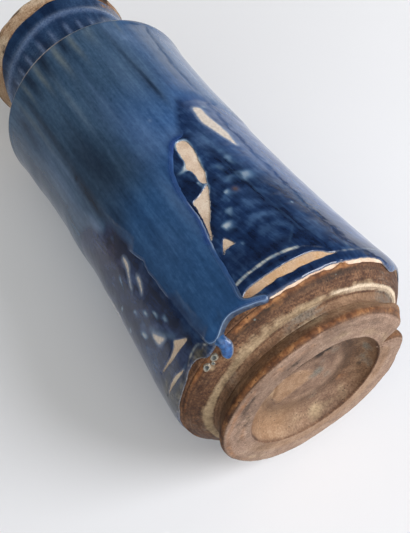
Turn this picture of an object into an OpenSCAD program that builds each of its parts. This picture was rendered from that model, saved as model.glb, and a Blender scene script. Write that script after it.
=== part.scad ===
// Tall waisted drug jar (albarello) in red-brown stonepaste clay.
// The jar stands upright on its foot ring: the origin is the middle of the
// standing face and +Z runs up the axis of the jar. All sizes are millimetres.

/* [Wall] */
// Radius of the glazed wall at its waist
waist_r = 57.6; // [55:0.1:60]
// Height of the waist above the standing face
waist_z = 160; // [150:1:170]
// Radius of the glazed wall at its heel
heel_r = 64.7; // [62:0.1:66]
// Thickness of the clay wall
wall_t = 7; // [5.5:0.1:8]
// Height of the sharp shoulder edge
shoulder_z = 232; // [230:1:236]

/* [Foot] */
// Outer radius of the foot ring
foot_r = 51.5; // [50:0.1:52]
// Radius at the bottom of the groove above the foot ring
groove_r = 47.6; // [46:0.1:49]
// Radius of the turned ridge under the heel
ridge_r = 52.2; // [51.5:0.1:54]
// Height of the turned ridge
ridge_z = 13.3; // [13:0.1:14]
// Radius of the hollow under the foot, at the standing face
recess_r = 36; // [33:0.5:38]
// Radius of the flat disc in the middle of that hollow
recess_floor_r = 24; // [20:0.5:26]
// Height of the flat disc above the standing face
recess_h = 9; // [8.6:0.1:9.4]
// Height of the clay floor inside the jar, level with the top of the heel
floor_z = 21; // [20:0.5:23]

/* [Neck] */
// Radius of the clear way through the neck
mouth_r = 36.5; // [34:0.5:37.5]
// Outer radius of the clay neck where it meets the shoulder
neck_r = 42.2; // [41.5:0.1:43]
// Outer radius of the lip
lip_r = 48.5; // [47.5:0.1:50]
// Height of the neck above the shoulder edge
neck_h = 62; // [59:1:66]

/* [Coats] */
// Thickness of the pale slip under the glaze
slip_t = 0.4; // [0.3:0.05:0.6]
// Thickness of the painted glaze over the slip
glaze_t = 0.7; // [0.5:0.05:0.9]
// Thickness of the second, opaque glaze over the upper wall
thick_t = 0.6; // [0.4:0.05:0.9]
// Thickness of the glaze run down the front
run_t = 1.0; // [0.8:0.05:1.3]
// Thickness of the glaze lining inside
lining_t = 0.5; // [0.3:0.05:0.7]
// Height where the opaque glaze ends
thick_z = 140; // [120:10:160]
// Direction of the glaze run, in degrees from +X
run_dir = -73; // [-90:1:-60]
// Thickness of the slip that lutes the thrown sections together
lute_t = 0.4; // [0.3:0.05:0.5]

/* [Hidden] */
$fn = 96;

heel_z = floor_z;                 // where the heel curve meets the wall
joint_z = floor_z;                // seam between the base and the wall
cove = 5;                         // inner corner between floor and wall
sh_joint_z = shoulder_z - 6;      // seam between the wall and the shoulder
neck_z = shoulder_z + 13.6;       // seam between the shoulder and the neck
lip_z = shoulder_z + neck_h;      // top of the lip
coat_t = slip_t + glaze_t;
flare = (heel_r - waist_r) / pow(waist_z - heel_z, 2);
step = 10;

// Radius of the glazed wall at height z, straight between heights a step apart
function r_curve(z) = waist_r + flare * pow(z - waist_z, 2);
function r_wall(z) = let (a = floor(z / step) * step, t = (z - a) / step)
    r_curve(a) * (1 - t) + r_curve(a + step) * t;
// Points up the wall from z0 to z1, moved out by d
function wall_line(z0, z1, d) = concat(
    [[r_wall(z0) + d, z0]],
    [for (k = [floor(z0 / step) + 1 : ceil(z1 / step) - 1])
        [r_wall(k * step) + d, k * step]],
    [[r_wall(z1) + d, z1]]);
// Radius of the bare clay inside the wall
function r_in(z) = r_wall(z) - coat_t - wall_t;
// Inner corner from the wall down to the floor, moved in by d
function cove_line(d) = [for (a = [30 : 30 : 90])
    [r_in(joint_z) - cove * (1 - cos(a)) - d, joint_z + lute_t + 9 * (1 - sin(a))]];
function flip(p) = [for (i = [len(p) - 1 : -1 : 0]) p[i]];

// Outer line of the clay from the groove over the ridge to the heel
function groove_low() = [for (a = [0 : 15 : 90])
    [foot_r - (foot_r - groove_r) * sin(a), recess_h - lute_t - (recess_h - lute_t - 3.2) * cos(a)]];
function groove_high() = [for (a = [0 : 15 : 75])
    [groove_r + (ridge_r - groove_r) * (1 - cos(a)), recess_h + (ridge_z - recess_h) * sin(a)]];
function heel_line() = [for (a = [0 : 10 : 80])
    [ridge_r + (r_wall(heel_z) - coat_t - ridge_r) * sin(a), ridge_z + (heel_z - ridge_z) * (1 - cos(a))]];
// Outer line of the clay shoulder, from its edge in to the root of the neck
function shoulder_line(d) = [
    [r_wall(shoulder_z - 2) - coat_t + d, shoulder_z - 2],
    [r_wall(shoulder_z) - coat_t - 0.6 + d * 0.8, shoulder_z - 0.2 + d * 0.6],
    [r_wall(shoulder_z) - 4 + d * 0.5, shoulder_z + 1.4 + d * 0.85],
    [neck_r + 9 + d * 0.5, shoulder_z + 5.5 + d * 0.85],
    [neck_r + 2.6 + d * 0.7, shoulder_z + 9.8 + d * 0.7],
    [neck_r + 0.5 + d, shoulder_z + 12],
    [neck_r + d, neck_z]];
// Outer line of the clay neck, from its root up to where the lip begins
function neck_line(d) = [for (k = [0 : 10]) let (t = k / 10)
    [neck_r - 0.9 * sin(180 * min(1, t * 1.6)) + (lip_r - 1.2 - neck_r) * pow(t, 2.6) + d,
     neck_z + lute_t + t * (lip_z - 6 - neck_z - lute_t)]];

module spin(p) { rotate_extrude() polygon(p); }

module foot_ring() {
    color("#9c7a66")
    spin(concat(
        [[recess_r + 1.5, 0], [foot_r - 1.5, 0], [foot_r - 0.4, 0.5], [foot_r, 1.6]],
        groove_low(),
        [[recess_floor_r, recess_h - lute_t]],
        [for (a = [15 : 15 : 90]) [recess_floor_r + (recess_r - recess_floor_r) * sin(a) * 0.98,
            (recess_h - lute_t) * (cos(a) * 0.94 + 0.06)]]));
}

module foot_luting() {
    color("#8a6f58")
    difference() {
        translate([0, 0, recess_h - lute_t]) cylinder(r = groove_r, h = lute_t);
        translate([0, 0, recess_h - lute_t - 1]) cylinder(r = recess_floor_r, h = lute_t + 2);
    }
}

module base() {
    color("#83604a")
    spin(concat(
        [[0, recess_h]], groove_high(), heel_line(),
        [[r_wall(heel_z) - coat_t, heel_z], [0, floor_z]]));
}

module wall_luting() {
    color("#8a6f58")
    spin([[r_in(joint_z) - cove, joint_z], [r_wall(joint_z) - coat_t, joint_z],
          [r_wall(joint_z + lute_t) - coat_t, joint_z + lute_t],
          [r_in(joint_z) - cove, joint_z + lute_t]]);
}

module wall() {
    color("#83604a")
    spin(concat(wall_line(joint_z + lute_t, sh_joint_z, -coat_t),
                flip(wall_line(joint_z + lute_t + 9, sh_joint_z, -coat_t - wall_t)), cove_line(0)));
}

module shoulder_luting() {
    color("#8a6f58")
    spin([[r_wall(sh_joint_z) - coat_t - wall_t, sh_joint_z], [r_wall(sh_joint_z) - coat_t, sh_joint_z],
          [r_wall(sh_joint_z + lute_t) - coat_t, sh_joint_z + lute_t],
          [r_wall(sh_joint_z + lute_t) - coat_t - wall_t, sh_joint_z + lute_t]]);
}

module shoulder() {
    color("#83604a")
    spin(concat(
        [[r_wall(sh_joint_z + lute_t) - coat_t, sh_joint_z + lute_t]],
        shoulder_line(0),
        [[mouth_r + lining_t, neck_z], [mouth_r + lining_t + 2, shoulder_z + 4.5],
         [mouth_r + lining_t + 8, shoulder_z - 1],
         [r_wall(sh_joint_z + lute_t) - coat_t - wall_t, sh_joint_z + lute_t]]));
}

module neck_luting() {
    color("#8a6f58")
    difference() {
        translate([0, 0, neck_z]) cylinder(r = neck_r, h = lute_t);
        translate([0, 0, neck_z - 1]) cylinder(r = mouth_r + lining_t, h = lute_t + 2);
    }
}

module neck() {
    color("#b79a7c")
    spin(concat(
        neck_line(0),
        [[lip_r - 0.4, lip_z - 3.4], [lip_r, lip_z - 1.9], [lip_r - 0.5, lip_z - 0.6], [lip_r - 1.8, lip_z],
         [lip_r - 4.4, lip_z], [lip_r - 6, lip_z - 0.9], [lip_r - 7.4, lip_z - 3],
         [mouth_r + lining_t + 1, lip_z - 8], [mouth_r + lining_t, lip_z - 11],
         [mouth_r + lining_t, neck_z + lute_t]]));
}

module slip_coat() {
    color("#e3c8a4")
    spin(concat(wall_line(heel_z, shoulder_z - 2, -glaze_t), flip(wall_line(heel_z, shoulder_z - 2, -coat_t))));
}

module painted_glaze() {
    color("#1d3866")
    spin(concat(wall_line(heel_z, shoulder_z - 2, 0), flip(wall_line(heel_z, shoulder_z - 2, -glaze_t))));
}

module thick_glaze() {
    color("#36567f")
    spin(concat(wall_line(thick_z, shoulder_z - 2, thick_t), flip(wall_line(thick_z, shoulder_z - 2, 0))));
}

// Edges of the run at each height, in degrees to the left and right of its middle
run_left = [[20, -9], [30, -11], [45, -14], [70, -16], [95, -20], [115, -24], [140, -25], [160, -25]];
run_right = [[20, 19], [24, 14], [30, 12], [45, 13], [62, 14], [85, 18], [105, 21], [122, 29], [140, 44], [160, 46]];
run_rows = concat([heel_z + 1], [for (z = [step * (floor((heel_z + 1) / step) + 1) : step : thick_z]) z]);
run_cols = 12;
// One point of the run: row i, column k, d out from the painted glaze
function run_point(i, k, d) = let (z = run_rows[i],
    a = run_dir + lookup(z, run_left) + (lookup(z, run_right) - lookup(z, run_left)) * k / run_cols)
    [(r_wall(z) + d) * cos(a), (r_wall(z) + d) * sin(a), z];

module glaze_run() {
    n = len(run_rows);
    m = run_cols + 1;
    function id(i, k, f) = f * n * m + i * m + k;
    color("#2f5486")
    polyhedron(
        points = [for (f = [0, 1], i = [0 : n - 1], k = [0 : m - 1])
            run_point(i, k, f == 0 ? 0 : (k == 0 || k == m - 1 ? 0.5 * run_t : run_t))],
        faces = concat(
            [for (i = [0 : n - 2], k = [0 : m - 2]) [id(i, k, 0), id(i, k + 1, 0), id(i + 1, k + 1, 0)]],
            [for (i = [0 : n - 2], k = [0 : m - 2]) [id(i, k, 0), id(i + 1, k + 1, 0), id(i + 1, k, 0)]],
            [for (i = [0 : n - 2], k = [0 : m - 2]) [id(i, k, 1), id(i + 1, k + 1, 1), id(i, k + 1, 1)]],
            [for (i = [0 : n - 2], k = [0 : m - 2]) [id(i, k, 1), id(i + 1, k, 1), id(i + 1, k + 1, 1)]],
            [for (i = [0 : n - 2]) [id(i, 0, 0), id(i + 1, 0, 0), id(i + 1, 0, 1), id(i, 0, 1)]],
            [for (i = [0 : n - 2]) [id(i, m - 1, 0), id(i, m - 1, 1), id(i + 1, m - 1, 1), id(i + 1, m - 1, 0)]],
            [for (k = [0 : m - 2]) [id(0, k, 0), id(0, k, 1), id(0, k + 1, 1), id(0, k + 1, 0)]],
            [for (k = [0 : m - 2]) [id(n - 1, k, 0), id(n - 1, k + 1, 0), id(n - 1, k + 1, 1), id(n - 1, k, 1)]]));
}

// Solid of revolution of everything the drops sit on
module under_drops() {
    spin(concat([[0, recess_h]], groove_high(), heel_line(), [[r_wall(heel_z), heel_z], [r_wall(heel_z + 20), heel_z + 20], [0, heel_z + 20]]));
}

module drop(dir, z, r, rad) {
    difference() {
        rotate([0, 0, dir]) translate([rad, 0, z]) sphere(r = r);
        under_drops();
    }
}

module run_drip() {
    color("#3f6fb5")
    drop(run_dir - 5, 17.5, 5.5, 58.4);
}

// A bead of radius r that stands h proud of the heel, a degrees round its curve
module bead(dir, a, r, h) {
    rotate([0, 0, dir])
    translate([ridge_r + (r_wall(heel_z) - coat_t - ridge_r) * sin(a), 0, ridge_z + (heel_z - ridge_z) * (1 - cos(a))])
    rotate([0, 180 - a, 0])
    intersection() {
        translate([0, 0, h - r]) sphere(r = r, $fn = 144);
        translate([-r, -r, 0]) cube(2 * r);
    }
}

module glaze_beads() {
    color("#5c6a6c") {
        bead(run_dir - 13, 50, 2.6, 1.6);
        bead(run_dir - 18, 42, 2.4, 1.4);
        bead(run_dir - 10, 30, 1.6, 1.0);
    }
}

module shoulder_glaze() {
    color("#3a567c")
    spin(concat(shoulder_line(glaze_t), flip(shoulder_line(0))));
}

module neck_glaze() {
    color("#223a63")
    spin(concat([[neck_r + glaze_t, neck_z]], neck_line(glaze_t), flip(neck_line(0)), [[neck_r, neck_z]]));
}

module inner_glaze() {
    color("#4f6f8e")
    spin(concat(
        [[0, floor_z], [r_in(joint_z) - cove, joint_z]],
        flip(cove_line(0)),
        wall_line(joint_z + lute_t + 9, sh_joint_z, -coat_t - wall_t),
        [[r_wall(sh_joint_z + lute_t) - coat_t - wall_t, sh_joint_z + lute_t],
         [mouth_r + lining_t + 8, shoulder_z - 1], [mouth_r + lining_t + 2, shoulder_z + 4.5],
         [mouth_r + lining_t, neck_z], [mouth_r + lining_t, lip_z - 11],
         [mouth_r, lip_z - 11], [mouth_r, neck_z], [mouth_r + 2, shoulder_z + 4.2],
         [mouth_r + 8, shoulder_z - 1.6]],
        flip(wall_line(joint_z + lute_t + 9, sh_joint_z, -coat_t - wall_t - lining_t)),
        [for (q = cove_line(lining_t)) [q[0], max(q[1], floor_z + lining_t + 0.2)]],
        [[r_in(joint_z) - cove - lining_t - 1, floor_z + lining_t], [0, floor_z + lining_t]]));
}

foot_ring();
foot_luting();
base();
wall_luting();
wall();
shoulder_luting();
shoulder();
neck_luting();
neck();
slip_coat();
painted_glaze();
thick_glaze();
glaze_run();
run_drip();
glaze_beads();
shoulder_glaze();
neck_glaze();
inner_glaze();
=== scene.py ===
import math

import bpy
import numpy as np
from mathutils import Matrix, Vector


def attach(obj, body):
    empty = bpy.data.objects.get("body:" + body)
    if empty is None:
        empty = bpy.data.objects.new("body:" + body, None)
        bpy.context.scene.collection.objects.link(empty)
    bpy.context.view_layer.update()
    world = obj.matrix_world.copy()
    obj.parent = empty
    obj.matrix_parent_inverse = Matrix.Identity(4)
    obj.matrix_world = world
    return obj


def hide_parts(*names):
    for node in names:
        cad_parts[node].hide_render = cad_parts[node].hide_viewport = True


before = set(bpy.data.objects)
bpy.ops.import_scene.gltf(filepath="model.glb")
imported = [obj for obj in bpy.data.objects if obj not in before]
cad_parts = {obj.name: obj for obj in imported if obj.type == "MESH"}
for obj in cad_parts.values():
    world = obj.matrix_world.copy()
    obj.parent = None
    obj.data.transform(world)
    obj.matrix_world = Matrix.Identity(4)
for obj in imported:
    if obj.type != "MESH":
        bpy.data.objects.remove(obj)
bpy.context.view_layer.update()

# ---------------------------------------------------------------------------
# Angles are "phi", in degrees round the jar from the side that faces the
# camera. Lengths are millimetres until a mesh is made.
# ---------------------------------------------------------------------------
TURN = -60.0            # phi = 0 lies at this angle from +X
RU = 62.0               # radius for distances on the unrolled wall
DEG = math.pi / 180.0
K = (64.7 - 57.6) / 139.0 ** 2


def r_wall(z):
    return 57.6 + K * (np.asarray(z, float) - 160.0) ** 2


def ss(a, b, x):
    t = np.clip((np.asarray(x, float) - a) / (b - a), 0, 1)
    return t * t * (3 - 2 * t)


def lerp(a, b, t):
    return a + (b - a) * t


def wrap(d):
    return (np.asarray(d, float) + 180.0) % 360.0 - 180.0


# --- smooth noise ----------------------------------------------------------
def _hash(ix, iy, iz, seed):
    h = (ix * 374761393 + iy * 668265263 + iz * 1274126177 + seed * 974634777) & 0xFFFFFFFF
    h = ((h ^ (h >> 13)) * 1274126177) & 0xFFFFFFFF
    h = ((h ^ (h >> 16)) * 1103515245) & 0xFFFFFFFF
    return ((h ^ (h >> 15)) & 0xFFFFFF) / float(0xFFFFFF)


def vnoise(p, seed=0):
    i = np.floor(p).astype(np.int64)
    f = p - i
    f = f * f * (3 - 2 * f)
    out = np.zeros(p.shape[:-1])
    for dx in (0, 1):
        wx = f[..., 0] if dx else 1 - f[..., 0]
        for dy in (0, 1):
            wy = f[..., 1] if dy else 1 - f[..., 1]
            for dz in (0, 1):
                wz = f[..., 2] if dz else 1 - f[..., 2]
                out += wx * wy * wz * _hash(i[..., 0] + dx, i[..., 1] + dy, i[..., 2] + dz, seed)
    return out * 2 - 1


def fbm(p, seed=0, octaves=3):
    out, amp, tot = 0, 1.0, 0.0
    for k in range(octaves):
        out = out + amp * vnoise(p * 2.0 ** k + 17.3 * k, seed + k)
        tot += amp
        amp *= 0.5
    return out / tot


def spot(phi, z, r=60.0, sx=1.0, sz=1.0):
    a = np.radians(phi)
    return np.stack([r * np.cos(a) * sx, r * np.sin(a) * sx, np.asarray(z, float) * sz + 0 * a], -1)


# --- shapes drawn on the unrolled wall -------------------------------------
def chaikin(p, n=2, closed=True):
    p = np.asarray(p, float)
    for _ in range(n):
        if closed:
            q = np.roll(p, -1, 0)
            p = np.stack([0.75 * p + 0.25 * q, 0.25 * p + 0.75 * q], 1).reshape(-1, 2)
        else:
            a, b = p[:-1], p[1:]
            m = np.stack([0.75 * a + 0.25 * b, 0.25 * a + 0.75 * b], 1).reshape(-1, 2)
            p = np.concatenate([p[:1], m, p[-1:]])
    return p


def seg_dist(x, y, a, b):
    best = np.full(x.shape, 1e9)
    for (ax, ay), (bx, by) in zip(a, b):
        dx, dy = bx - ax, by - ay
        l2 = dx * dx + dy * dy
        t = np.clip(((x - ax) * dx + (y - ay) * dy) / (l2 if l2 > 1e-12 else 1), 0, 1)
        best = np.minimum(best, (x - ax - t * dx) ** 2 + (y - ay - t * dy) ** 2)
    return np.sqrt(best)


def inside(x, y, a, b):
    c = np.zeros(x.shape, bool)
    for (ax, ay), (bx, by) in zip(a, b):
        if ay == by:
            continue
        hit = (ay > y) != (by > y)
        c ^= hit & (x < (bx - ax) * (y - ay) / (by - ay) + ax)
    return c


def sd_shape(phi, z, poly, smooth=2, reach=9.0):
    """Signed distance in mm to a closed shape, + inside, clamped to reach."""
    p = chaikin(poly, smooth) if smooth else np.asarray(poly, float)
    mid = 0.5 * (p[:, 0].min() + p[:, 0].max())
    u = wrap(phi - mid) * DEG * RU
    v = np.asarray(z, float)
    a = np.stack([(p[:, 0] - mid) * DEG * RU, p[:, 1]], 1)
    b = np.roll(a, -1, 0)
    out = np.full(u.shape, -reach)
    near = ((u > a[:, 0].min() - reach) & (u < a[:, 0].max() + reach)
            & (v > a[:, 1].min() - reach) & (v < a[:, 1].max() + reach))
    if near.any():
        d = seg_dist(u[near], v[near], a, b)
        out[near] = np.clip(np.where(inside(u[near], v[near], a, b), d, -d), -reach, reach)
    return out


def dist_line(phi, z, line, reach=6.0):
    p = chaikin(line, 2, closed=False)
    mid = 0.5 * (p[:, 0].min() + p[:, 0].max())
    u = wrap(phi - mid) * DEG * RU
    v = np.asarray(z, float)
    a = np.stack([(p[:, 0] - mid) * DEG * RU, p[:, 1]], 1)
    out = np.full(u.shape, reach)
    near = ((u > a[:, 0].min() - reach) & (u < a[:, 0].max() + reach)
            & (v > a[:, 1].min() - reach) & (v < a[:, 1].max() + reach))
    if near.any():
        out[near] = np.minimum(seg_dist(u[near], v[near], a[:-1], a[1:]), reach)
    return out


def blobs(phi, z, items):
    """Sum of soft patches: (phi, z, half width in degrees, half height in mm, weight[, tilt])."""
    out = np.zeros(np.shape(phi))
    for it in items:
        p0, z0, rx, ry, w = it[:5]
        tilt = it[5] if len(it) > 5 else 0.0       # degrees of phi per mm of height
        dz = z - z0
        dp = wrap(phi - p0 - tilt * dz)
        out += w * np.exp(-(dp / rx) ** 2 - (dz / ry) ** 2)
    return out


def curve_round(phi, pts):
    """Periodic, softly curved value round the jar from (phi, value) pairs."""
    p = sorted(pts)
    x = np.array([q[0] for q in p], float)
    y = np.array([q[1] for q in p], float)
    x = np.concatenate([x - 360, x, x + 360])
    y = np.concatenate([y, y, y])
    q = wrap(phi)
    h = 0.8
    return (np.interp(q - h, x, y) + 2 * np.interp(q, x, y) + np.interp(q + h, x, y)) / 4


# ---------------------------------------------------------------------------
# Outer line of the clay: t = 0 where the heel meets the wall, t grows up the
# wall (t = z - 21) and is negative down the heel
# ---------------------------------------------------------------------------
HEEL_Z, HEEL_R = 21.0, 61.7
RIDGE = (52.6, 13.3)
HEEL_MID = (58.9, 16.3)


def clay_wall(z):
    """Outer radius of the clay wall, which turns in a little above the heel."""
    return r_wall(z) - 1.1 - 1.9 * np.clip((31.0 - np.asarray(z, float)) / 10.0, 0, 1) ** 2.2


_u = np.linspace(0, 1, 120)
_hr = (1 - _u) ** 2 * RIDGE[0] + 2 * _u * (1 - _u) * HEEL_MID[0] + _u ** 2 * HEEL_R
_hz = (1 - _u) ** 2 * RIDGE[1] + 2 * _u * (1 - _u) * HEEL_MID[1] + _u ** 2 * HEEL_Z
_hn = np.stack([np.gradient(_hz), -np.gradient(_hr)], 1)
_hn /= np.linalg.norm(_hn, axis=1)[:, None]
_hs = np.r_[0, np.cumsum(np.hypot(np.diff(_hr), np.diff(_hz)))]
HEEL_L = float(_hs[-1])
_wz = np.linspace(HEEL_Z, 240, 440)[1:]
_wr = clay_wall(_wz)
_wn = np.stack([np.gradient(_wz), -np.gradient(_wr)], 1)
_wn /= np.linalg.norm(_wn, axis=1)[:, None]
BODY = np.concatenate([
    np.column_stack([_hs - HEEL_L, _hr, _hz, _hn]),
    np.column_stack([_wz - HEEL_Z, _wr, _wz, _wn])])


def make_profile(pts):
    """Table of (length along the line, r, z, normal) from points, normal to the left turned out."""
    p = np.asarray(pts, float)
    d = np.diff(p, axis=0)
    s = np.r_[0, np.cumsum(np.linalg.norm(d, axis=1))]
    g = np.gradient(p, axis=0)
    n = np.stack([g[:, 1], -g[:, 0]], 1)
    n /= np.linalg.norm(n, axis=1)[:, None]
    return np.column_stack([s, p, n])


def on_profile(tab, t):
    return [np.interp(t, tab[:, 0], tab[:, k]) for k in (1, 2, 3, 4)]


# ---------------------------------------------------------------------------
# Meshes
# ---------------------------------------------------------------------------
def new_mesh(name, xyz, faces, attrs, sharp=None):
    me = bpy.data.meshes.new(name)
    me.from_pydata((np.asarray(xyz) * 0.001).tolist(), [], [tuple(int(i) for i in f) for f in faces])
    me.polygons.foreach_set("use_smooth", np.ones(len(me.polygons), bool))
    if sharp is not None:
        e = np.zeros(len(me.edges) * 2, np.int32)
        me.edges.foreach_get("vertices", e)
        e = e.reshape(-1, 2)
        at = me.attributes.new("sharp_edge", "BOOLEAN", "EDGE")
        at.data.foreach_set("value", sharp[e[:, 0]] & sharp[e[:, 1]])
    for key, val in attrs.items():
        at = me.attributes.new(key, "FLOAT", "POINT")
        at.data.foreach_set("value", np.asarray(val, np.float32))
    me.validate()
    me.update()
    o = bpy.data.objects.new(name, me)
    bpy.context.scene.collection.objects.link(o)
    return o


def place(phi, r, z, dx=0.0, dy=0.0):
    """Points from phi, r, z; dx, dy shift along phi = 0 and phi = 90."""
    a = np.radians(phi)
    x = r * np.cos(a) + dx
    y = r * np.sin(a) + dy
    c, s = math.cos(TURN * DEG), math.sin(TURN * DEG)
    return np.stack([x * c - y * s, x * s + y * c, z + 0 * x], -1)


def split(v, tris, level):
    """Cuts triangles along v[:,2] == level. Returns v, triangles above, triangles below."""
    d = v[:, 2] - level
    d = np.where(np.abs(d) < 1e-4, 1e-4, d)
    ins = d[tris] > 0
    cnt = ins.sum(1)
    above, below = [tris[cnt == 3]], [tris[cnt == 0]]
    odd = []
    for want in (1, 2):
        m = cnt == want
        t = tris[m]
        lone = np.argmax(ins[m] if want == 1 else ~ins[m], axis=1)
        k = np.arange(len(t))
        odd.append(np.stack([t[k, lone], t[k, (lone + 1) % 3], t[k, (lone + 2) % 3]], 1))
    pairs = np.concatenate([np.concatenate([o[:, [0, 1]], o[:, [0, 2]]]) for o in odd])
    if len(pairs) == 0:
        return v, above[0], below[0]
    key = np.sort(pairs, 1)
    uniq, inv = np.unique(key, axis=0, return_inverse=True)
    inv = inv.reshape(-1)
    a, b = uniq[:, 0], uniq[:, 1]
    f = np.clip(d[a] / (d[a] - d[b]), 0.03, 0.97)[:, None]      # no slivers beside a grid point
    new = v[a] + (v[b] - v[a]) * f
    jump = np.abs(v[a, 0] - v[b, 0]) > 180          # an edge across the seam at the back
    if jump.any():
        new[jump, 0] = wrap(v[a[jump], 0] + wrap(v[b[jump], 0] - v[a[jump], 0]) * f[jump, 0])
    new[:, 2] = level
    base = len(v)
    v = np.concatenate([v, new])
    pos = 0
    for want, o in zip((1, 2), odd):
        n = len(o)
        ab = base + inv[pos:pos + n]
        ac = base + inv[pos + n:pos + 2 * n]
        pos += 2 * n
        tip = np.stack([o[:, 0], ab, ac], 1)
        rest = np.concatenate([np.stack([ab, o[:, 1], o[:, 2]], 1), np.stack([ab, o[:, 2], ac], 1)])
        (above if want == 1 else below).append(tip)
        (below if want == 1 else above).append(rest)
    return v, np.concatenate(above), np.concatenate(below)


def coat(name, phis, ts, keep, outer, inner, attrs, prof=BODY, around=True, levels=(0.35, 0.9), shift=None):
    """A closed skin on the clay: phi x t grid, kept where keep() > 0, its edge rounded off."""
    phis, ts = np.asarray(phis, float), np.asarray(ts, float)
    n, m = len(phis), len(ts)
    PH, T = np.meshgrid(phis, ts)
    ph, t = PH.ravel(), T.ravel()
    v = np.stack([ph, t, keep(ph, t)], 1)
    cols = n if around else n - 1
    j, i = np.meshgrid(np.arange(m - 1), np.arange(cols), indexing="ij")
    i2 = (i + 1) % n
    a, b, c, d = (j * n + i).ravel(), (j * n + i2).ravel(), ((j + 1) * n + i2).ravel(), ((j + 1) * n + i).ravel()
    flip = ((i + j) % 2 == 0).ravel()[:, None]
    tris = np.concatenate([
        np.where(flip, np.stack([a, b, c], 1), np.stack([a, b, d], 1)),
        np.where(flip, np.stack([a, c, d], 1), np.stack([b, c, d], 1))])
    v, tris, _ = split(v, tris, 0.0)
    for lev in levels:
        v, up, low = split(v, tris, lev)
        tris = np.concatenate([up, low])
    used = np.unique(tris)
    remap = np.full(len(v), -1)
    remap[used] = np.arange(len(used))
    v, tris = v[used], remap[tris]
    ph, t, s = v[:, 0], v[:, 1], np.maximum(v[:, 2], 0)
    sides = np.sort(np.concatenate([tris[:, [0, 1]], tris[:, [1, 2]], tris[:, [2, 0]]]), 1)
    sides, count = np.unique(sides, axis=0, return_counts=True)
    edge = np.zeros(len(v), bool)
    edge[sides[count == 1]] = True
    r, z, nr, nz = on_profile(prof, t)
    ho, hi = outer(ph, t, s), inner(ph, t, s)
    dx = dy = 0.0
    if shift is not None:
        dx, dy = shift(z)
    top = place(ph, r + nr * ho, z + nz * ho, dx, dy)
    low = place(ph, r + nr * hi, z + nz * hi, dx, dy)
    keepi = np.where(~edge)[0]
    other = np.arange(len(v))
    other[keepi] = len(v) + np.arange(len(keepi))
    xyz = np.concatenate([top, low[keepi]])
    faces = np.concatenate([tris, other[tris][:, ::-1]])
    vals = {k: np.concatenate([x, x[keepi]]) for k, x in attrs(ph, t, s).items()}
    return new_mesh(name, xyz, faces, vals, np.concatenate([edge, np.zeros(len(keepi), bool)]))


def rim(s, w):
    q = 1 - np.clip(s / w, 0, 1)
    return np.sqrt(np.clip(1 - q * q, 0, 1))


def revolve(name, line, ncol, disp, attrs, loop, shift=None):
    """A turned solid. line: (r, z) points; loop closes the line on itself, else it starts and ends on the axis."""
    p = np.asarray(line, float)
    if not loop:
        p = p[1:-1]
    nx = np.roll(p, -1, 0) - np.roll(p, 1, 0)
    if not loop:
        nx[0], nx[-1] = p[1] - p[0], p[-1] - p[-2]
    nrm = np.stack([nx[:, 1], -nx[:, 0]], 1)
    nrm /= np.maximum(np.linalg.norm(nrm, axis=1), 1e-9)[:, None]
    arc = np.r_[0, np.cumsum(np.linalg.norm(np.diff(p, axis=0), axis=1))]
    phis = np.linspace(-180, 180, ncol, endpoint=False)
    PH, I = np.meshgrid(phis, np.arange(len(p)))
    ph, i = PH.ravel(), I.ravel()
    r0, z0, s = p[i, 0], p[i, 1], arc[i]
    h, dr, dz = disp(ph, r0, z0, s)
    r, z = r0 + nrm[i, 0] * h + dr, z0 + nrm[i, 1] * h + dz
    dx = dy = 0.0
    if shift is not None:
        dx, dy = shift(z0)
    xyz = place(ph, np.maximum(r, 0.02), z, dx, dy)
    m = len(p)
    rows = m if loop else m - 1
    j, k = np.meshgrid(np.arange(rows), np.arange(ncol), indexing="ij")
    j2, k2 = (j + 1) % m, (k + 1) % ncol
    faces = np.stack([(j * ncol + k).ravel(), (j * ncol + k2).ravel(),
                      (j2 * ncol + k2).ravel(), (j2 * ncol + k).ravel()], 1).tolist()
    vals = attrs(ph, r0, z0, s)
    if not loop:
        first, last = len(xyz), len(xyz) + 1
        dx0 = dy0 = dx1 = dy1 = 0.0
        if shift is not None:
            dx0, dy0 = shift(np.array([line[0][1]], float))
            dx1, dy1 = shift(np.array([line[-1][1]], float))
        c0 = place(np.array([0.0]), np.array([0.0]), np.array([z[:ncol].mean()]), dx0, dy0)
        c1 = place(np.array([0.0]), np.array([0.0]), np.array([z[-ncol:].mean()]), dx1, dy1)
        xyz = np.concatenate([xyz, c0, c1])
        faces += [[first, (q + 1) % ncol, q] for q in range(ncol)]
        e = (m - 1) * ncol
        faces += [[last, e + q, e + (q + 1) % ncol] for q in range(ncol)]
        vals = {kk: np.concatenate([x, [x[:ncol].mean(), x[-ncol:].mean()]]) for kk, x in vals.items()}
    return new_mesh(name, xyz, faces, vals)


# ---------------------------------------------------------------------------
# Material helpers
# ---------------------------------------------------------------------------
def lin(r, g, b):
    def f(c):
        c /= 255.0
        return c / 12.92 if c <= 0.04045 else ((c + 0.055) / 1.055) ** 2.4
    return (f(r), f(g), f(b), 1.0)


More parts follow.
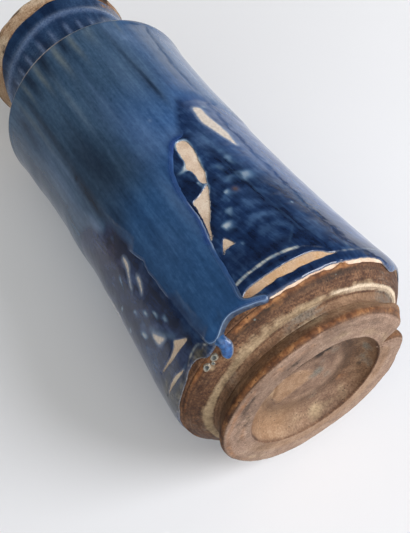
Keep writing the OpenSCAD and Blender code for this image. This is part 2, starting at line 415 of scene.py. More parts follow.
class Mat:
    def __init__(self, name):
        self.m = bpy.data.materials.new(name)
        self.m.use_nodes = True
        self.t = self.m.node_tree
        self.t.nodes.clear()
        self.out = self.t.nodes.new("ShaderNodeOutputMaterial")
        self.tc = self.t.nodes.new("ShaderNodeTexCoord")

    def put(self, sock, val):
        if isinstance(val, bpy.types.NodeSocket):
            self.t.links.new(val, sock)
        else:
            sock.default_value = val

    def attr(self, name):
        n = self.t.nodes.new("ShaderNodeAttribute")
        n.attribute_name = name
        return n.outputs["Fac"]

    def coords(self, sx, sy=None, sz=None, vec=None):
        """Place on the jar in mm times the scale given."""
        n = self.t.nodes.new("ShaderNodeMapping")
        n.vector_type = "POINT"
        sy = sx if sy is None else sy
        sz = sx if sz is None else sz
        n.inputs["Scale"].default_value = (1000 * sx, 1000 * sy, 1000 * sz)
        self.t.links.new(vec if vec is not None else self.tc.outputs["Object"], n.inputs["Vector"])
        return n.outputs["Vector"]

    def combine(self, x, y, z):
        n = self.t.nodes.new("ShaderNodeCombineXYZ")
        for k, q in zip("XYZ", (x, y, z)):
            self.put(n.inputs[k], q)
        return n.outputs[0]

    def noise(self, vec, scale=1.0, detail=4.0, rough=0.55, distort=0.0):
        n = self.t.nodes.new("ShaderNodeTexNoise")
        n.inputs["Scale"].default_value = scale
        n.inputs["Detail"].default_value = detail
        n.inputs["Roughness"].default_value = rough
        n.inputs["Distortion"].default_value = distort
        self.t.links.new(vec, n.inputs["Vector"])
        return n.outputs["Fac"]

    def cells(self, vec, scale=1.0, feature="DISTANCE_TO_EDGE"):
        n = self.t.nodes.new("ShaderNodeTexVoronoi")
        n.feature = feature
        n.inputs["Scale"].default_value = scale
        self.t.links.new(vec, n.inputs["Vector"])
        return n.outputs["Distance"]

    def math(self, op, a, b=0.0, c=None, clamp=False):
        n = self.t.nodes.new("ShaderNodeMath")
        n.operation = op
        n.use_clamp = clamp
        self.put(n.inputs[0], a)
        self.put(n.inputs[1], b)
        if c is not None:
            self.put(n.inputs[2], c)
        return n.outputs[0]

    def span(self, x, a, b, lo=0.0, hi=1.0, smooth=True):
        n = self.t.nodes.new("ShaderNodeMapRange")
        n.interpolation_type = "SMOOTHSTEP" if smooth else "LINEAR"
        self.put(n.inputs["Value"], x)
        self.put(n.inputs["From Min"], a)
        self.put(n.inputs["From Max"], b)
        self.put(n.inputs["To Min"], lo)
        self.put(n.inputs["To Max"], hi)
        return n.outputs["Result"]

    def ramp(self, x, stops):
        n = self.t.nodes.new("ShaderNodeValToRGB")
        e = n.color_ramp.elements
        while len(e) < len(stops):
            e.new(0.5)
        for k, (pos, col) in enumerate(stops):
            e[k].position = pos
            e[k].color = col
        self.t.links.new(x, n.inputs["Fac"])
        return n.outputs["Color"]

    def mix(self, f, a, b, blend="MIX"):
        n = self.t.nodes.new("ShaderNodeMix")
        n.data_type = "RGBA"
        n.blend_type = blend
        self.put(n.inputs[0], f)
        self.put(n.inputs[6], a)
        self.put(n.inputs[7], b)
        return n.outputs[2]

    def bump(self, height, distance_mm, strength=1.0, normal=None):
        n = self.t.nodes.new("ShaderNodeBump")
        n.inputs["Strength"].default_value = strength
        n.inputs["Distance"].default_value = distance_mm * 0.001
        self.t.links.new(height, n.inputs["Height"])
        if normal is not None:
            self.t.links.new(normal, n.inputs["Normal"])
        return n.outputs["Normal"]

    def surface(self, color, rough, normal=None, coat=0.0, coat_rough=0.05, spec=0.5):
        b = self.t.nodes.new("ShaderNodeBsdfPrincipled")
        self.put(b.inputs["Base Color"], color)
        self.put(b.inputs["Roughness"], rough)
        b.inputs["Specular IOR Level"].default_value = spec
        b.inputs["Coat Weight"].default_value = coat
        b.inputs["Coat Roughness"].default_value = coat_rough
        if normal is not None:
            self.t.links.new(normal, b.inputs["Normal"])
        self.t.links.new(b.outputs["BSDF"], self.out.inputs["Surface"])
        return self.m


def piece(o, material, slot, *nodes):
    o.data.materials.clear()
    o.data.materials.append(material)
    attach(o, "root")
    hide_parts(*nodes)
    return o


# ---------------------------------------------------------------------------
# Where each coat ends, in (phi, t)
# ---------------------------------------------------------------------------
# Lower edge of the opaque coat all round, the run at the front included
COAT_EDGE = [
    (-180, 106), (-168, 101), (-158, 100), (-148, 106), (-138, 116), (-126, 119), (-114, 112), (-104, 103),
    (-96, 100), (-88, 104), (-78, 113), (-68, 115), (-60, 113), (-54, 110), (-49, 107), (-46.5, 102), (-44, 96),
    (-41.5, 93), (-38.5, 91.5), (-36.3, 92.5), (-35, 91),
    (-34, 85), (-33.2, 79), (-32, 73), (-30.6, 68.3), (-29, 63), (-28.1, 60.3), (-28.7, 57), (-29.2, 54),
    (-28.8, 50), (-28.2, 44), (-28, 39), (-27.3, 34.5), (-26.7, 30), (-26.3, 24), (-25.9, 17), (-25.2, 11),
    (-24.6, 7), (-24.2, 4), (-23.6, 1.8), (-22, 0.6), (-20, 0.2), (-17.8, 0.6), (-16.2, 1.3), (-15, 2.0),
    (-13.6, 2.7), (-11.6, 3.2), (-9, 3.3), (-6, 2.7), (-3, 1.7), (0, 0.6), (2.6, -0.3), (4.6, -0.8),
    (6.0, -0.2), (6.5, 1.1), (5.8, 2.6), (4, 3.6), (1.6, 4.5), (-0.4, 5.4), (-1.7, 6.6),
    (-1.5, 9), (-1.1, 12), (-0.8, 15.5), (-0.5, 19), (0.0, 24), (0.5, 29), (1.0, 34), (1.8, 39), (2.8, 44),
    (3.8, 49), (4.4, 53), (4.8, 58), (4.8, 62), (5.0, 67), (5.4, 71), (5.8, 75), (6.4, 79), (7.3, 83), (8.6, 87),
    (10.4, 91), (12.6, 95), (14.8, 98.6), (16.4, 101.2), (18.2, 103.4), (21, 104.6), (23.6, 105.2), (25.6, 107.5),
    (27.6, 112), (29.5, 116.5), (31.6, 121), (34, 125), (36.4, 128), (39, 129.6), (43, 129.2), (47, 130.4),
    (53, 128.5), (61, 124), (70, 117), (80, 113), (88, 116), (96, 122), (108, 125), (118, 119), (126, 109),
    (133, 102), (139, 100), (146, 104), (156, 110), (168, 111), (180, 106)]

DRIP = [(-22.4, 4.5), (-22.2, 2), (-21.9, 0), (-22.0, -1.6), (-23.2, -3.2), (-24.2, -5.1), (-24.0, -7.0), (-22.7, -7.9), (-21.0, -7.8),
        (-19.2, -6.9), (-17.6, -5.5), (-16.3, -3.4), (-16.4, -1.4), (-16.6, 0.4), (-16.2, 2.6), (-17, 4.6), (-20, 6)]

PAINT_LOW = [
    (-180, 2.5), (-160, 3.4), (-140, 2.2), (-120, 2.8), (-95, 3.0), (-75, 2.2), (-66, 1.4), (-58, 2.0), (-50, 1.6),
    (-44, 2.2), (-40, 3.2), (-35, 3.7), (-31.5, 2.8), (-29.6, 0.6), (-27.5, -0.4), (-25, -0.5), (-22, 0.2),
    (-16, 1.8), (-13, 3.4), (-9, 3.9), (-4, 3.0), (0, 1.8), (4, 0.5), (7, 0.1), (14, 0.25), (22, 0.05), (30, 0.25),
    (38, 0.45), (46, 0.3), (56, 0.35), (64, 0.1), (68, -1.4), (72, -2.9), (76, -3.1), (80, -1.2), (85, 1.0), (96, 2.0), (120, 1.2), (150, 2.8)]
SLIP_LOW = [
    (-180, 3.1), (-160, 4.0), (-140, 2.9), (-120, 3.4), (-95, 3.6), (-75, 2.9), (-66, 2.2), (-58, 2.8), (-50, 2.4),
    (-44, 3.0), (-40, 4.0), (-35, 4.4), (-31.5, 4.4), (-29.6, 4.0), (-25, 4.0), (-16, 4.0), (-9, 4.6), (-4, 3.8),
    (1, 2.4), (4.5, 0.8), (6.5, -0.6), (10, -0.9), (13, -0.5), (16, -0.9), (21, -1.0), (24.5, -0.7), (27, -0.4), (31, -0.5),
    (34, -1.1), (36.6, -1.2), (38.2, -0.4), (40.6, 0.5), (43, -0.2), (44.6, -1.3), (50, -1.4), (54, -0.9), (58, -1.1),
    (66, -1.2), (72, -1.8), (78, -1.2), (86, 1.7), (96, 2.6), (120, 1.9), (150, 3.4)]

# Places left free of blue, in (phi, z)
PATCH_B = [
    (17, 121), (18.2, 123.6), (20.5, 124.6), (22.6, 124), (23.8, 121.5), (23.8, 117), (22.9, 112), (21.8, 108), (20.9, 104),
    (20.4, 100), (19.2, 96.6), (17.9, 93.8), (16.9, 91.6), (16.4, 90.0), (15.4, 87.0), (13.5, 83.4), (11.8, 79.6), (9.7, 75.8), (7.6, 72.6),
    (5.9, 69.8), (4.6, 66.5), (3.4, 63.5), (2.2, 61.4), (2.0, 62.4), (3.0, 65),
    (4.0, 68), (4.9, 72), (5.6, 77), (6.1, 82), (6.2, 86), (7.6, 86.6), (10, 87), (12.4, 88.3), (14.4, 89.9), (15.7, 90.7), (16.2, 91.6),
    (15.8, 92.8), (15.2, 94.4), (15.4, 96.6), (15.8, 100), (15.5, 103), (14.4, 105.2), (14.2, 106.8), (15.2, 108.4), (16.0, 110.5), (16.3, 113.5),
    (16.6, 117.5)]
PATCH_A = [
    (40, 144.5), (42, 145.8), (45.2, 144.6), (44.8, 138), (45.6, 133), (47, 129), (47.2, 122), (46.7, 116), (46.2, 110.5),
    (45, 112), (44, 115), (43, 117), (42.4, 118.5), (41.5, 122), (40.5, 126), (39.6, 129), (38.6, 131), (38.6, 134),
    (39.3, 139), (39.3, 142)]
HEEL_BAND = [(-3, 26.4), (-1.6, 28), (0, 29.4), (3, 30.0), (6, 29.9), (10, 30.3), (14, 30.2), (20, 30.8), (25, 30.5), (30, 30.6), (33.8, 30), (36, 28.3),
             (38, 26.9), (42, 26.2), (37, 26.2), (33, 25.8), (30, 26.1), (26, 25.7), (22, 26.2), (20, 25.6), (16, 26.0), (13, 26.6), (11, 25.8), (7, 26.2), (4, 25.6), (0, 26.2)]
TRI_R = [(7, 59.3), (8.2, 56.4), (9.4, 53.2), (6.5, 54), (4, 53.3), (2.6, 51.2), (3.4, 53.6), (5, 56.6)]
STRIP_L1 = [(-37.4, 40.3), (-35.5, 38.3), (-33, 36.6), (-29.8, 33.8), (-33, 33.7), (-38, 34.4), (-44, 35.0), (-48, 36.3),
            (-55, 37.9), (-57.5, 39.3), (-52, 38.4), (-47, 37.1), (-42, 37.1), (-38.7, 37.7)]
STRIP_L2 = [(-65, 31.6), (-58, 30.9), (-52, 30.2), (-47, 29.3), (-44, 28), (-40, 26.3), (-42, 26.4), (-46, 27.2), (-49.5, 27.8), (-54, 28.9), (-60, 30.2)]
TRI_L = [(-47.2, 53.6), (-46.8, 47), (-44, 45.4), (-39.8, 44.3), (-43, 48.6), (-45.3, 52.6)]
DASH_L1 = [(-36.6, 95.2), (-36.1, 92), (-36.9, 88.6), (-39.2, 86), (-41.5, 83.5), (-43.8, 79), (-42, 84.2), (-39.4, 87.6),
           (-38.4, 90.5), (-37.9, 93.8)]
DASH_L2 = [(-35.2, 80.6), (-35.1, 77.6), (-36, 75.2), (-37.6, 73.2), (-39.3, 71.6), (-38.2, 74.6), (-36.9, 77), (-36.2, 79.6)]


def moved(shape, dphi, dz=0.0, mirror=False, grow=1.0):
    p = np.asarray(shape, float)
    x = -p[:, 0] if mirror else p[:, 0]
    return np.stack([x * grow + dphi, p[:, 1] + dz], 1)


# The same pattern carried on round the sides that the camera does not see
CUT = [PATCH_B, HEEL_BAND, TRI_R, STRIP_L1, STRIP_L2]
BACK = [moved(HEEL_BAND, 96, 0.3), moved(HEEL_BAND, 176, -0.2), moved(HEEL_BAND, -118, 0.4), moved(TRI_R, 98, -2),
        moved(TRI_R, -150, 1, True), moved(TRI_L, -70, 2), moved(TRI_L, 215, -1, True),
        moved(STRIP_L1, 150, 1.5, True), moved(STRIP_L1, -55, 0.5)]
SOFT = [PATCH_A, DASH_L1, DASH_L2, TRI_L]
SOFT_BACK = [moved(PATCH_A, 72, -28), moved(PATCH_A, 150, -22, True), moved(PATCH_A, -118, -30), moved(DASH_L1, -60, -4),
             moved(DASH_L2, -72, 2), moved(DASH_L1, 190, 4, True), moved(DASH_L2, 128, -8, True), moved(PATCH_A, -150, -24, True)]


def warp(phi, t, amp=0.35, freq=0.22, seed=40):
    p = spot(phi, t)
    return (phi + amp * fbm(p * freq, seed, 2) / (DEG * RU) * 1.2,
            t + amp * fbm(p * freq, seed + 7, 2))


def slip_sd(phi, t):
    ph, tt = warp(phi, t, 0.45, 0.35, 11)
    return np.minimum(tt - curve_round(ph, SLIP_LOW), 208.6 - t)


def paint_sd(phi, t):
    ph, tt = warp(phi, t, 0.3, 0.4, 23)
    low = np.minimum(tt - curve_round(ph, PAINT_LOW), 208.6 - t)
    s = low
    ph, tt = warp(phi, t, 0.25, 0.45, 31)
    for shape in CUT + BACK:
        s = np.minimum(s, -sd_shape(ph, tt + 21.0, shape))
    crack = 0.62 - dist_line(ph, tt + 21.0, [(13.6, 95.4), (15.0, 93.2), (16.2, 91.7), (17.9, 90.6)])
    return np.minimum(np.maximum(s, crack), low)


_edge = chaikin(COAT_EDGE, 2, closed=False)
_edge = np.concatenate([_edge + [d, 0] for d in (-360.0, 0.0, 360.0)])
_edge = _edge[(_edge[:, 0] > -250) & (_edge[:, 0] < 250)]


def edge_sd(phi, t):
    """Distance in from the edge of the opaque coat, run included."""
    ph, tt = warp(wrap(phi), t, 0.3, 0.3, 57)
    x, y = ph * DEG * RU, tt
    e = _edge * [DEG * RU, 1.0]
    ring = np.concatenate([e, [[e[-1, 0], 400.0], [e[0, 0], 400.0]]])
    d = np.full(x.shape, 12.0)
    lowest = np.interp(ph, np.arange(-190, 191, 1.0), [(_edge[np.abs(_edge[:, 0] - q) < 3.5, 1].max()) for q in np.arange(-190, 191, 1.0)])
    near = y < lowest + 13
    out = np.where(near, 0.0, 12.0)
    if near.any():
        dd = seg_dist(x[near], y[near], e[:-1], e[1:])
        ins = inside(x[near], y[near], ring, np.roll(ring, -1, 0))
        out[near] = np.clip(np.where(ins, dd, -dd), -12, 12)
    return np.minimum(out, 210.3 - t)


def wob(phi, t):
    p = spot(phi, t)
    n = 0.14 * np.sin(np.radians(2 * phi + 40)) + 0.16 * fbm(p * 0.035, 5, 2) + 0.05 * fbm(p * 0.15, 6, 2)
    n = n + 0.014 * np.sin(2 * np.pi * t / 11.0 + 0.7 * np.sin(np.radians(phi)))
    side = np.exp(-(wrap(phi + 72) / 26.0) ** 2)
    n = n + side * (0.75 * ss(8, 28, t) * ss(104, 84, t) - 0.75 * ss(130, 145, t) * ss(186, 170, t))
    low = 1.3 * np.exp(-(wrap(phi - 86) / 26.0) ** 2) * ss(10, 0, t) * ss(-5, -1, t)
    low = low - 0.9 * np.exp(-(wrap(phi + 98) / 26.0) ** 2) * ss(16, 3, t)
    low = low - 0.7 * np.exp(-(wrap(phi - 80) / 24.0) ** 2) * ss(130, 165, t) * ss(208, 198, t)
    return n * ss(4, 24, t) * ss(208, 196, t) + low


def h_slip(phi, t, s):
    p = spot(phi, t)
    return -0.03 + (0.42 + 0.05 * fbm(p * 0.4, 71, 2)) * rim(s, 0.9) + wob(phi, t)


def under_paint(phi, t):
    s = slip_sd(phi, t)
    return np.where(s > 0, h_slip(phi, t, s), wob(phi, t))


def h_paint(phi, t, s):
    p = spot(phi, t)
    lump = 0.05 * fbm(p * 0.12, 81, 2)
    return under_paint(phi, t) - 0.03 + (0.70 + lump) * rim(s, 1.1)


def under_thick(phi, t):
    s = paint_sd(phi, t)
    return np.where(s > 0, h_paint(phi, t, np.maximum(s, 0)), under_paint(phi, t))


def crisp(phi, t):
    """1 where the coat ends in a clear edge, 0 where it thins out into the glaze below."""
    a, z = wrap(phi), t + 21.0
    left = ss(97, 89, z) * ss(-60, -52, a) * (1 - 0.85 * ss(60, 53, z) * ss(25, 30, z))
    return np.maximum(np.where(a < -12, left, ss(37, 25, a) * ss(133, 121, z)), ss(185, 205, z))


def h_thick(phi, t, s):
    """Height of the opaque coat and of the run, one surface."""
    p = spot(phi, t)
    firm = crisp(phi, t)
    front = np.exp(-(wrap(phi + 12) / 24.0) ** 4)
    run = front * ss(112, 92, t)
    body = 0.62 + 0.1 * fbm(p * np.array([0.12, 0.12, 0.03]), 91, 2)
    tongue = 0.95 + 0.35 * ss(40, 8, t) + 0.12 * fbm(p * np.array([0.1, 0.1, 0.03]), 95, 2)
    tongue = tongue + 0.55 * np.exp(-((t - 4.5) / 4.0) ** 2) * ss(-16, -10, wrap(phi))
    thick = lerp(body, tongue, run)
    roll = 0.12 * firm * np.exp(-((s - 1.6) / 1.3) ** 2)     # the edge stands a little proud
    full = 1.08 + wob(phi, t) + thick + roll
    w = lerp(11.0, lerp(1.3, lerp(1.7, 1.1, ss(22, 10, t)), run), firm)
    q = np.clip(s / w, 0, 1)
    shape = lerp(q * q * (3 - 2 * q), rim(s, w), firm)
    return lerp(under_thick(phi, t) - 0.03, full, shape)


# ---------------------------------------------------------------------------
# Camera
# ---------------------------------------------------------------------------
def turn(v):
    c, s = math.cos(TURN * DEG), math.sin(TURN * DEG)
    return Vector((v[0] * c - v[1] * s, v[0] * s + v[1] * c, v[2]))


right = turn((-0.344917, 0.787422, -0.510881))
up = turn((0.414167, 0.616106, 0.669985))
back = turn((0.842317, 0.019499, -0.538629))
eye = turn((0.350338, 0.0, -0.131741))
cam = bpy.data.objects.new("camera", bpy.data.cameras.new("camera"))
bpy.context.scene.collection.objects.link(cam)
cam.matrix_world = Matrix((
    (right.x, up.x, back.x, eye.x), (right.y, up.y, back.y, eye.y), (right.z, up.z, back.z, eye.z), (0, 0, 0, 1)))
cam.data.sensor_width = 36.0
cam.data.lens = 787.5146 / 533.0 * 36.0
cam.data.clip_start, cam.data.clip_end = 0.01, 50.0
cam.data.dof.use_dof = False
bpy.context.scene.camera = cam

# ---------------------------------------------------------------------------
# Clay
# ---------------------------------------------------------------------------
def foot_shift(z):
    w = np.clip((13.3 - z) / 13.3, 0, 1)
    return -1.0 * w, -2.2 * w


def clay_matter(name, dark, mid, light, bump=0.2):
    m = Mat(name)
    big = m.noise(m.coords(0.05), 1.0, 4, 0.55, 0.3)
    med = m.noise(m.coords(0.2), 1.0, 5, 0.6, 0.4)
    fine = m.noise(m.coords(1.0), 1.0, 5, 0.62)
    rings = m.noise(m.combine(m.math("MULTIPLY", m.attr("arc"), 0.8), m.attr("turnx"), m.attr("turny")), 1.0, 3, 0.55)
    wipe = m.noise(m.combine(m.math("MULTIPLY", m.attr("arc"), 0.9), m.math("MULTIPLY", m.attr("turnx"), 7.0), m.math("MULTIPLY", m.attr("turny"), 7.0)), 1.0, 5, 0.62)
    tone = m.math("ADD", m.math("ADD", m.math("MULTIPLY", big, 0.22), m.math("MULTIPLY", med, 0.14)),
                  m.math("ADD", m.math("MULTIPLY", fine, 0.34), m.math("ADD", m.math("MULTIPLY", rings, 0.12), m.math("MULTIPLY", wipe, 0.18))))
    col = m.ramp(tone, [(0.425, lin(*dark)), (0.50, lin(*mid)), (0.58, lin(*light))])
    brk = m.math("ADD", m.math("MULTIPLY", m.noise(m.coords(0.36), 1.0, 6, 0.74, 0.4), 0.6), m.math("MULTIPLY", wipe, 0.75))

    def lay(col, key, tint, hard=0.22, torn=1.0):
        v = m.math("ADD", m.attr(key), m.math("MULTIPLY", m.math("SUBTRACT", brk, 0.675), torn))
        return m.mix(m.span(v, 0.5 - hard, 0.5 + hard), col, tint)

    col = m.mix(m.attr("pink"), col, m.ramp(tone, [(0.41, lin(114, 90, 74)), (0.50, lin(148, 121, 103)), (0.60, lin(180, 155, 135))]))
    col = m.mix(m.attr("tan"), col, m.ramp(tone, [(0.41, lin(122, 90, 64)), (0.50, lin(150, 118, 90)), (0.60, lin(174, 146, 118))]))
    col = m.mix(m.attr("deep"), col, m.ramp(tone, [(0.41, lin(52, 37, 27)), (0.50, lin(72, 53, 39)), (0.60, lin(98, 75, 58))]))
    col = lay(col, "grey", m.ramp(fine, [(0.35, lin(82, 76, 67)), (0.65, lin(132, 124, 112))]), 0.2)
    col = lay(col, "rust", m.ramp(med, [(0.38, lin(86, 52, 30)), (0.5, lin(124, 80, 48)), (0.62, lin(160, 112, 70))]), 0.27)
    col = lay(col, "pale", m.ramp(m.math("ADD", m.math("MULTIPLY", fine, 0.4), m.math("MULTIPLY", med, 0.6)), [(0.38, lin(122, 102, 78)), (0.62, lin(182, 158, 126))]), 0.3, 0.7)
    col = lay(col, "cream", m.ramp(fine, [(0.33, lin(176, 154, 128)), (0.65, lin(224, 206, 181))]), 0.36, 0.7)
    col = lay(col, "dark", m.ramp(fine, [(0.3, lin(34, 26, 21)), (0.7, lin(64, 49, 39))]), 0.24)
    cell = m.cells(m.coords(0.42), 1.0, "F1")
    pits = m.math("MULTIPLY", m.span(cell, 0.19, 0.07), m.span(med, 0.46, 0.58))
    col = m.mix(m.math("MULTIPLY", pits, 0.8), col, lin(28, 21, 18))
    grit = m.math("MULTIPLY", m.span(m.cells(m.coords(0.6, 0.6, 0.61), 1.0, "F1"), 0.16, 0.06), m.span(big, 0.48, 0.6))
    col = m.mix(m.math("MULTIPLY", grit, 0.55), col, lin(160, 140, 116))
    h = m.math("ADD", m.math("ADD", m.math("MULTIPLY", fine, 0.7), m.math("MULTIPLY", med, 0.8)),
               m.math("SUBTRACT", m.math("MULTIPLY", rings, 0.3), m.math("MULTIPLY", pits, 0.9)))
    nrm = m.bump(h, bump, 0.9)
    rough = m.span(fine, 0.3, 0.7, 0.66, 0.9)
    return m.surface(col, rough, nrm, spec=0.3)


clay = clay_matter("bare_clay", (55, 34, 23), (90, 61, 43), (130, 97, 72), 0.34)
lip_clay = clay_matter("lip_clay", (130, 101, 75), (164, 135, 107), (194, 169, 143), 0.2)
luting = clay_matter("luting_slip", (96, 74, 58), (128, 102, 82), (156, 130, 106), 0.12)


def clay_attrs(extra):
    def f(ph, r, z, s):
        d = {"arc": s, "turnx": 0.02 * r * np.cos(np.radians(ph)), "turny": 0.02 * r * np.sin(np.radians(ph))}
        for k in ("grey", "pale", "rust", "dark", "pink", "tan", "cream", "deep"):
            d[k] = 0 * ph
        for k, x in extra(ph, r, z, s).items():
            d[k] = x
        return d
    return f


def clay_rough(ph, r, z, amp=1.0):
    p = np.stack([r * np.cos(np.radians(ph)), r * np.sin(np.radians(ph)), z], -1)
    return amp * (0.22 * fbm(p * 0.09, 3, 2) + 0.14 * fbm(p * 0.35, 4, 3))


def heel_way(r):
    """Distance down the heel, 0 at the wall, HEEL_L at the ridge."""
    return HEEL_L - np.interp(np.clip(r, RIDGE[0], HEEL_R), _hr, _hs)


def base_disp(ph, r, z, s):
    a = wrap(ph)
    h = clay_rough(ph, r, z) * ss(21.4, 19.0, z)
    ridge = np.exp(-((z - 13.2) / 1.3) ** 2) * (r > 49)
    p = spot(ph, z)
    h = h + ridge * (0.3 + 0.5 * fbm(p * 0.07, 201, 3))
    hs = heel_way(r)
    heel = (r > RIDGE[0] + 0.1) & (z > 13.4)
    steps = np.where(heel, 0.05 * np.sin(2 * np.pi * hs / 2.6 + 0.6 * fbm(p * 0.05, 205, 2)), 0)
    steps = steps - np.where(heel, 0.22 * np.exp(-((hs - 2.6 - 0.5 * fbm(p * 0.06, 207, 2)) / 0.8) ** 2) * (0.6 + 0.6 * fbm(p * 0.08, 208, 2)), 0)
    under = (z < 9.6) & (r < 30)
    x, y = r * np.cos(np.radians(ph)), r * np.sin(np.radians(ph))
    crack = np.zeros(ph.shape)
    for (ax, ay, bx, by, dep) in [(12.5, -14.5, 3.5, -19.5, 0.9), (18, -3, 13, -10, 0.7), (16.4, -1, 14.2, 7, 1.1), (14.2, 7, 8.4, 14.4, 0.9), (-10, 2, -6, 5, 0.4)]:
        d = seg_dist(x + 0.8 * fbm(p * 0.3, 210, 2), y, [(ax, ay)], [(bx, by)])
        crack += dep * np.exp(-(d / 0.6) ** 2)
    swirl = 0.04 * np.sin(2 * np.pi * r / 5.2 + np.radians(ph)) + 0.22 * fbm(np.stack([x, y, 0 * x], -1) * 0.12, 214, 3)
    h = np.where(under, h * 0.5 + swirl - crack, h + steps)
    on = ss(17.5, 13.8, z) * ((r > 49.5) & (z > 11.0))
    near = np.exp(-((a - 92) / 22.0) ** 2) * on
    trim = np.exp(-(wrap(a + 98) / 26.0) ** 2) * ((r > 49.5) & (z > 11.0))
    return h, 1.6 * near - 1.0 * trim, 1.5 * near


def hollow_marks(a, x, y):
    """Colours in the hollow of the foot, seen from below, the same on the base and on the ring. Besides stains they
    hold painted light on the far left wall and painted shade round the wall and beside the cracks.
    """
    rr = np.hypot(x, y)
    # tan: on the far left wall, which faces the lamp, it is partly painted light
    tan = 0.9 * np.exp(-(wrap(a + 92) / 42.0) ** 4) * ss(17, 28, rr) + 0.55 * np.exp(-(wrap(a + 138) / 26.0) ** 2) * ss(16, 26, rr)
    tan += blobs(x, y, [(8, -18, 5, 4, 0.35), (-10, -14, 7, 6, 0.25)]) + 0.55 * np.exp(-(wrap(a - 118) / 40.0) ** 2) * ss(27, 33, rr)
    flake = ss(-6.0, -3.0, x) * ss(-21, -18, y) * ss(5, 0, y) * ss(13.8, 12.4, x + 0.12 * (y + 6) ** 2 * (y > -6))
    # deep: painted shade round the wall of the hollow, strongest near phi 128, and beside the cracks on the near side
    deep = 0.42 * np.exp(-((rr - 23.5) / 5.0) ** 2) + 0.42 * np.exp(-((rr - 25) / 6.0) ** 2) * np.exp(-(wrap(a - 128) / 42.0) ** 2)
    deep += blobs(x, y, [(14.6, -4, 2.0, 5, 0.5), (13.4, 5, 2.4, 5, 0.35), (2, 6, 8, 3.6, 0.3), (-26, -21, 6, 5, 0.25)])
    tan = tan + 0.85 * flake
    # pink fades near phi 125 as painted shade
    pink = 0.5 + 0.5 * flake - 0.45 * np.exp(-(wrap(a - 125) / 40.0) ** 2) * ss(16, 28, rr)
    pale = 0.16 * flake + blobs(x, y, [(-32, -8, 4, 6, 0.6), (-27, -18, 4, 5, 0.4), (9, -19, 3, 3, 0.35), (-9, 4, 3, 2, 0.28), (-31, 10, 3, 3, 0.4), (-4, -9, 5, 2, 0.25), (-34, 2, 2, 10, 0.4)])
    grey = blobs(x, y, [(-2, 5.6, 4.5, 2.6, 0.42), (-8, 31.5, 5, 3, 0.6), (-19, 27, 7, 5, 0.55), (-14, 8, 7, 4, 0.46), (-22, -4, 6, 7, 0.42), (-4, 1, 6, 5, 0.44), (6, 18, 10, 5, 0.42), (-8, -22, 7, 4, 0.3), (15, 12, 6, 6, 0.4), (2, 10, 8, 4, 0.36)])
    rust = 0.34 * np.exp(-((rr - 26) / 5.0) ** 2) * np.exp(-(wrap(a - 155) / 34.0) ** 2)
    rust += blobs(x, y, [(-9, 32, 12, 4, 0.16), (-29, 16, 5, 5, 0.24), (-33, -16, 3, 8, 0.34), (12, 29, 8, 4, 0.2), (4, -10, 4, 3, 0.22), (-26, -22, 5, 4, 0.3)])
    # dark: stains, and the painted shadow of the near rim beside the cracks on the side nearest the camera
    dark = blobs(x, y, [(-22, 24, 3, 2.4, 0.55), (-30, 4, 3, 5, 0.32), (-12, 25, 8, 4, 0.2), (2, 13, 13, 8, 0.2), (16, 0, 5, 6, 0.16), (16, 9, 7, 8, 0.34), (22, 18, 7, 8, 0.4), (15.8, 3, 1.6, 5, 0.7), (11.4, 11, 2.4, 3.4, 0.6), (18.4, 2, 2.0, 4.6, 0.5), (16.4, 9.5, 2.4, 3.6, 0.6), (11.4, 16, 3.6, 2.4, 0.5), (3.5, -20, 3.6, 0.9, 0.5), (12.5, -15, 1.0, 3.0, 0.45), (18, -3, 5, 6, 0.14), (-15, 14, 7, 2, 0.34)])
    return {"tan": np.clip(tan, 0, 1), "pink": np.clip(pink, 0, 1), "pale": pale, "grey": grey, "rust": rust, "dark": dark, "deep": np.clip(deep, 0, 1)}


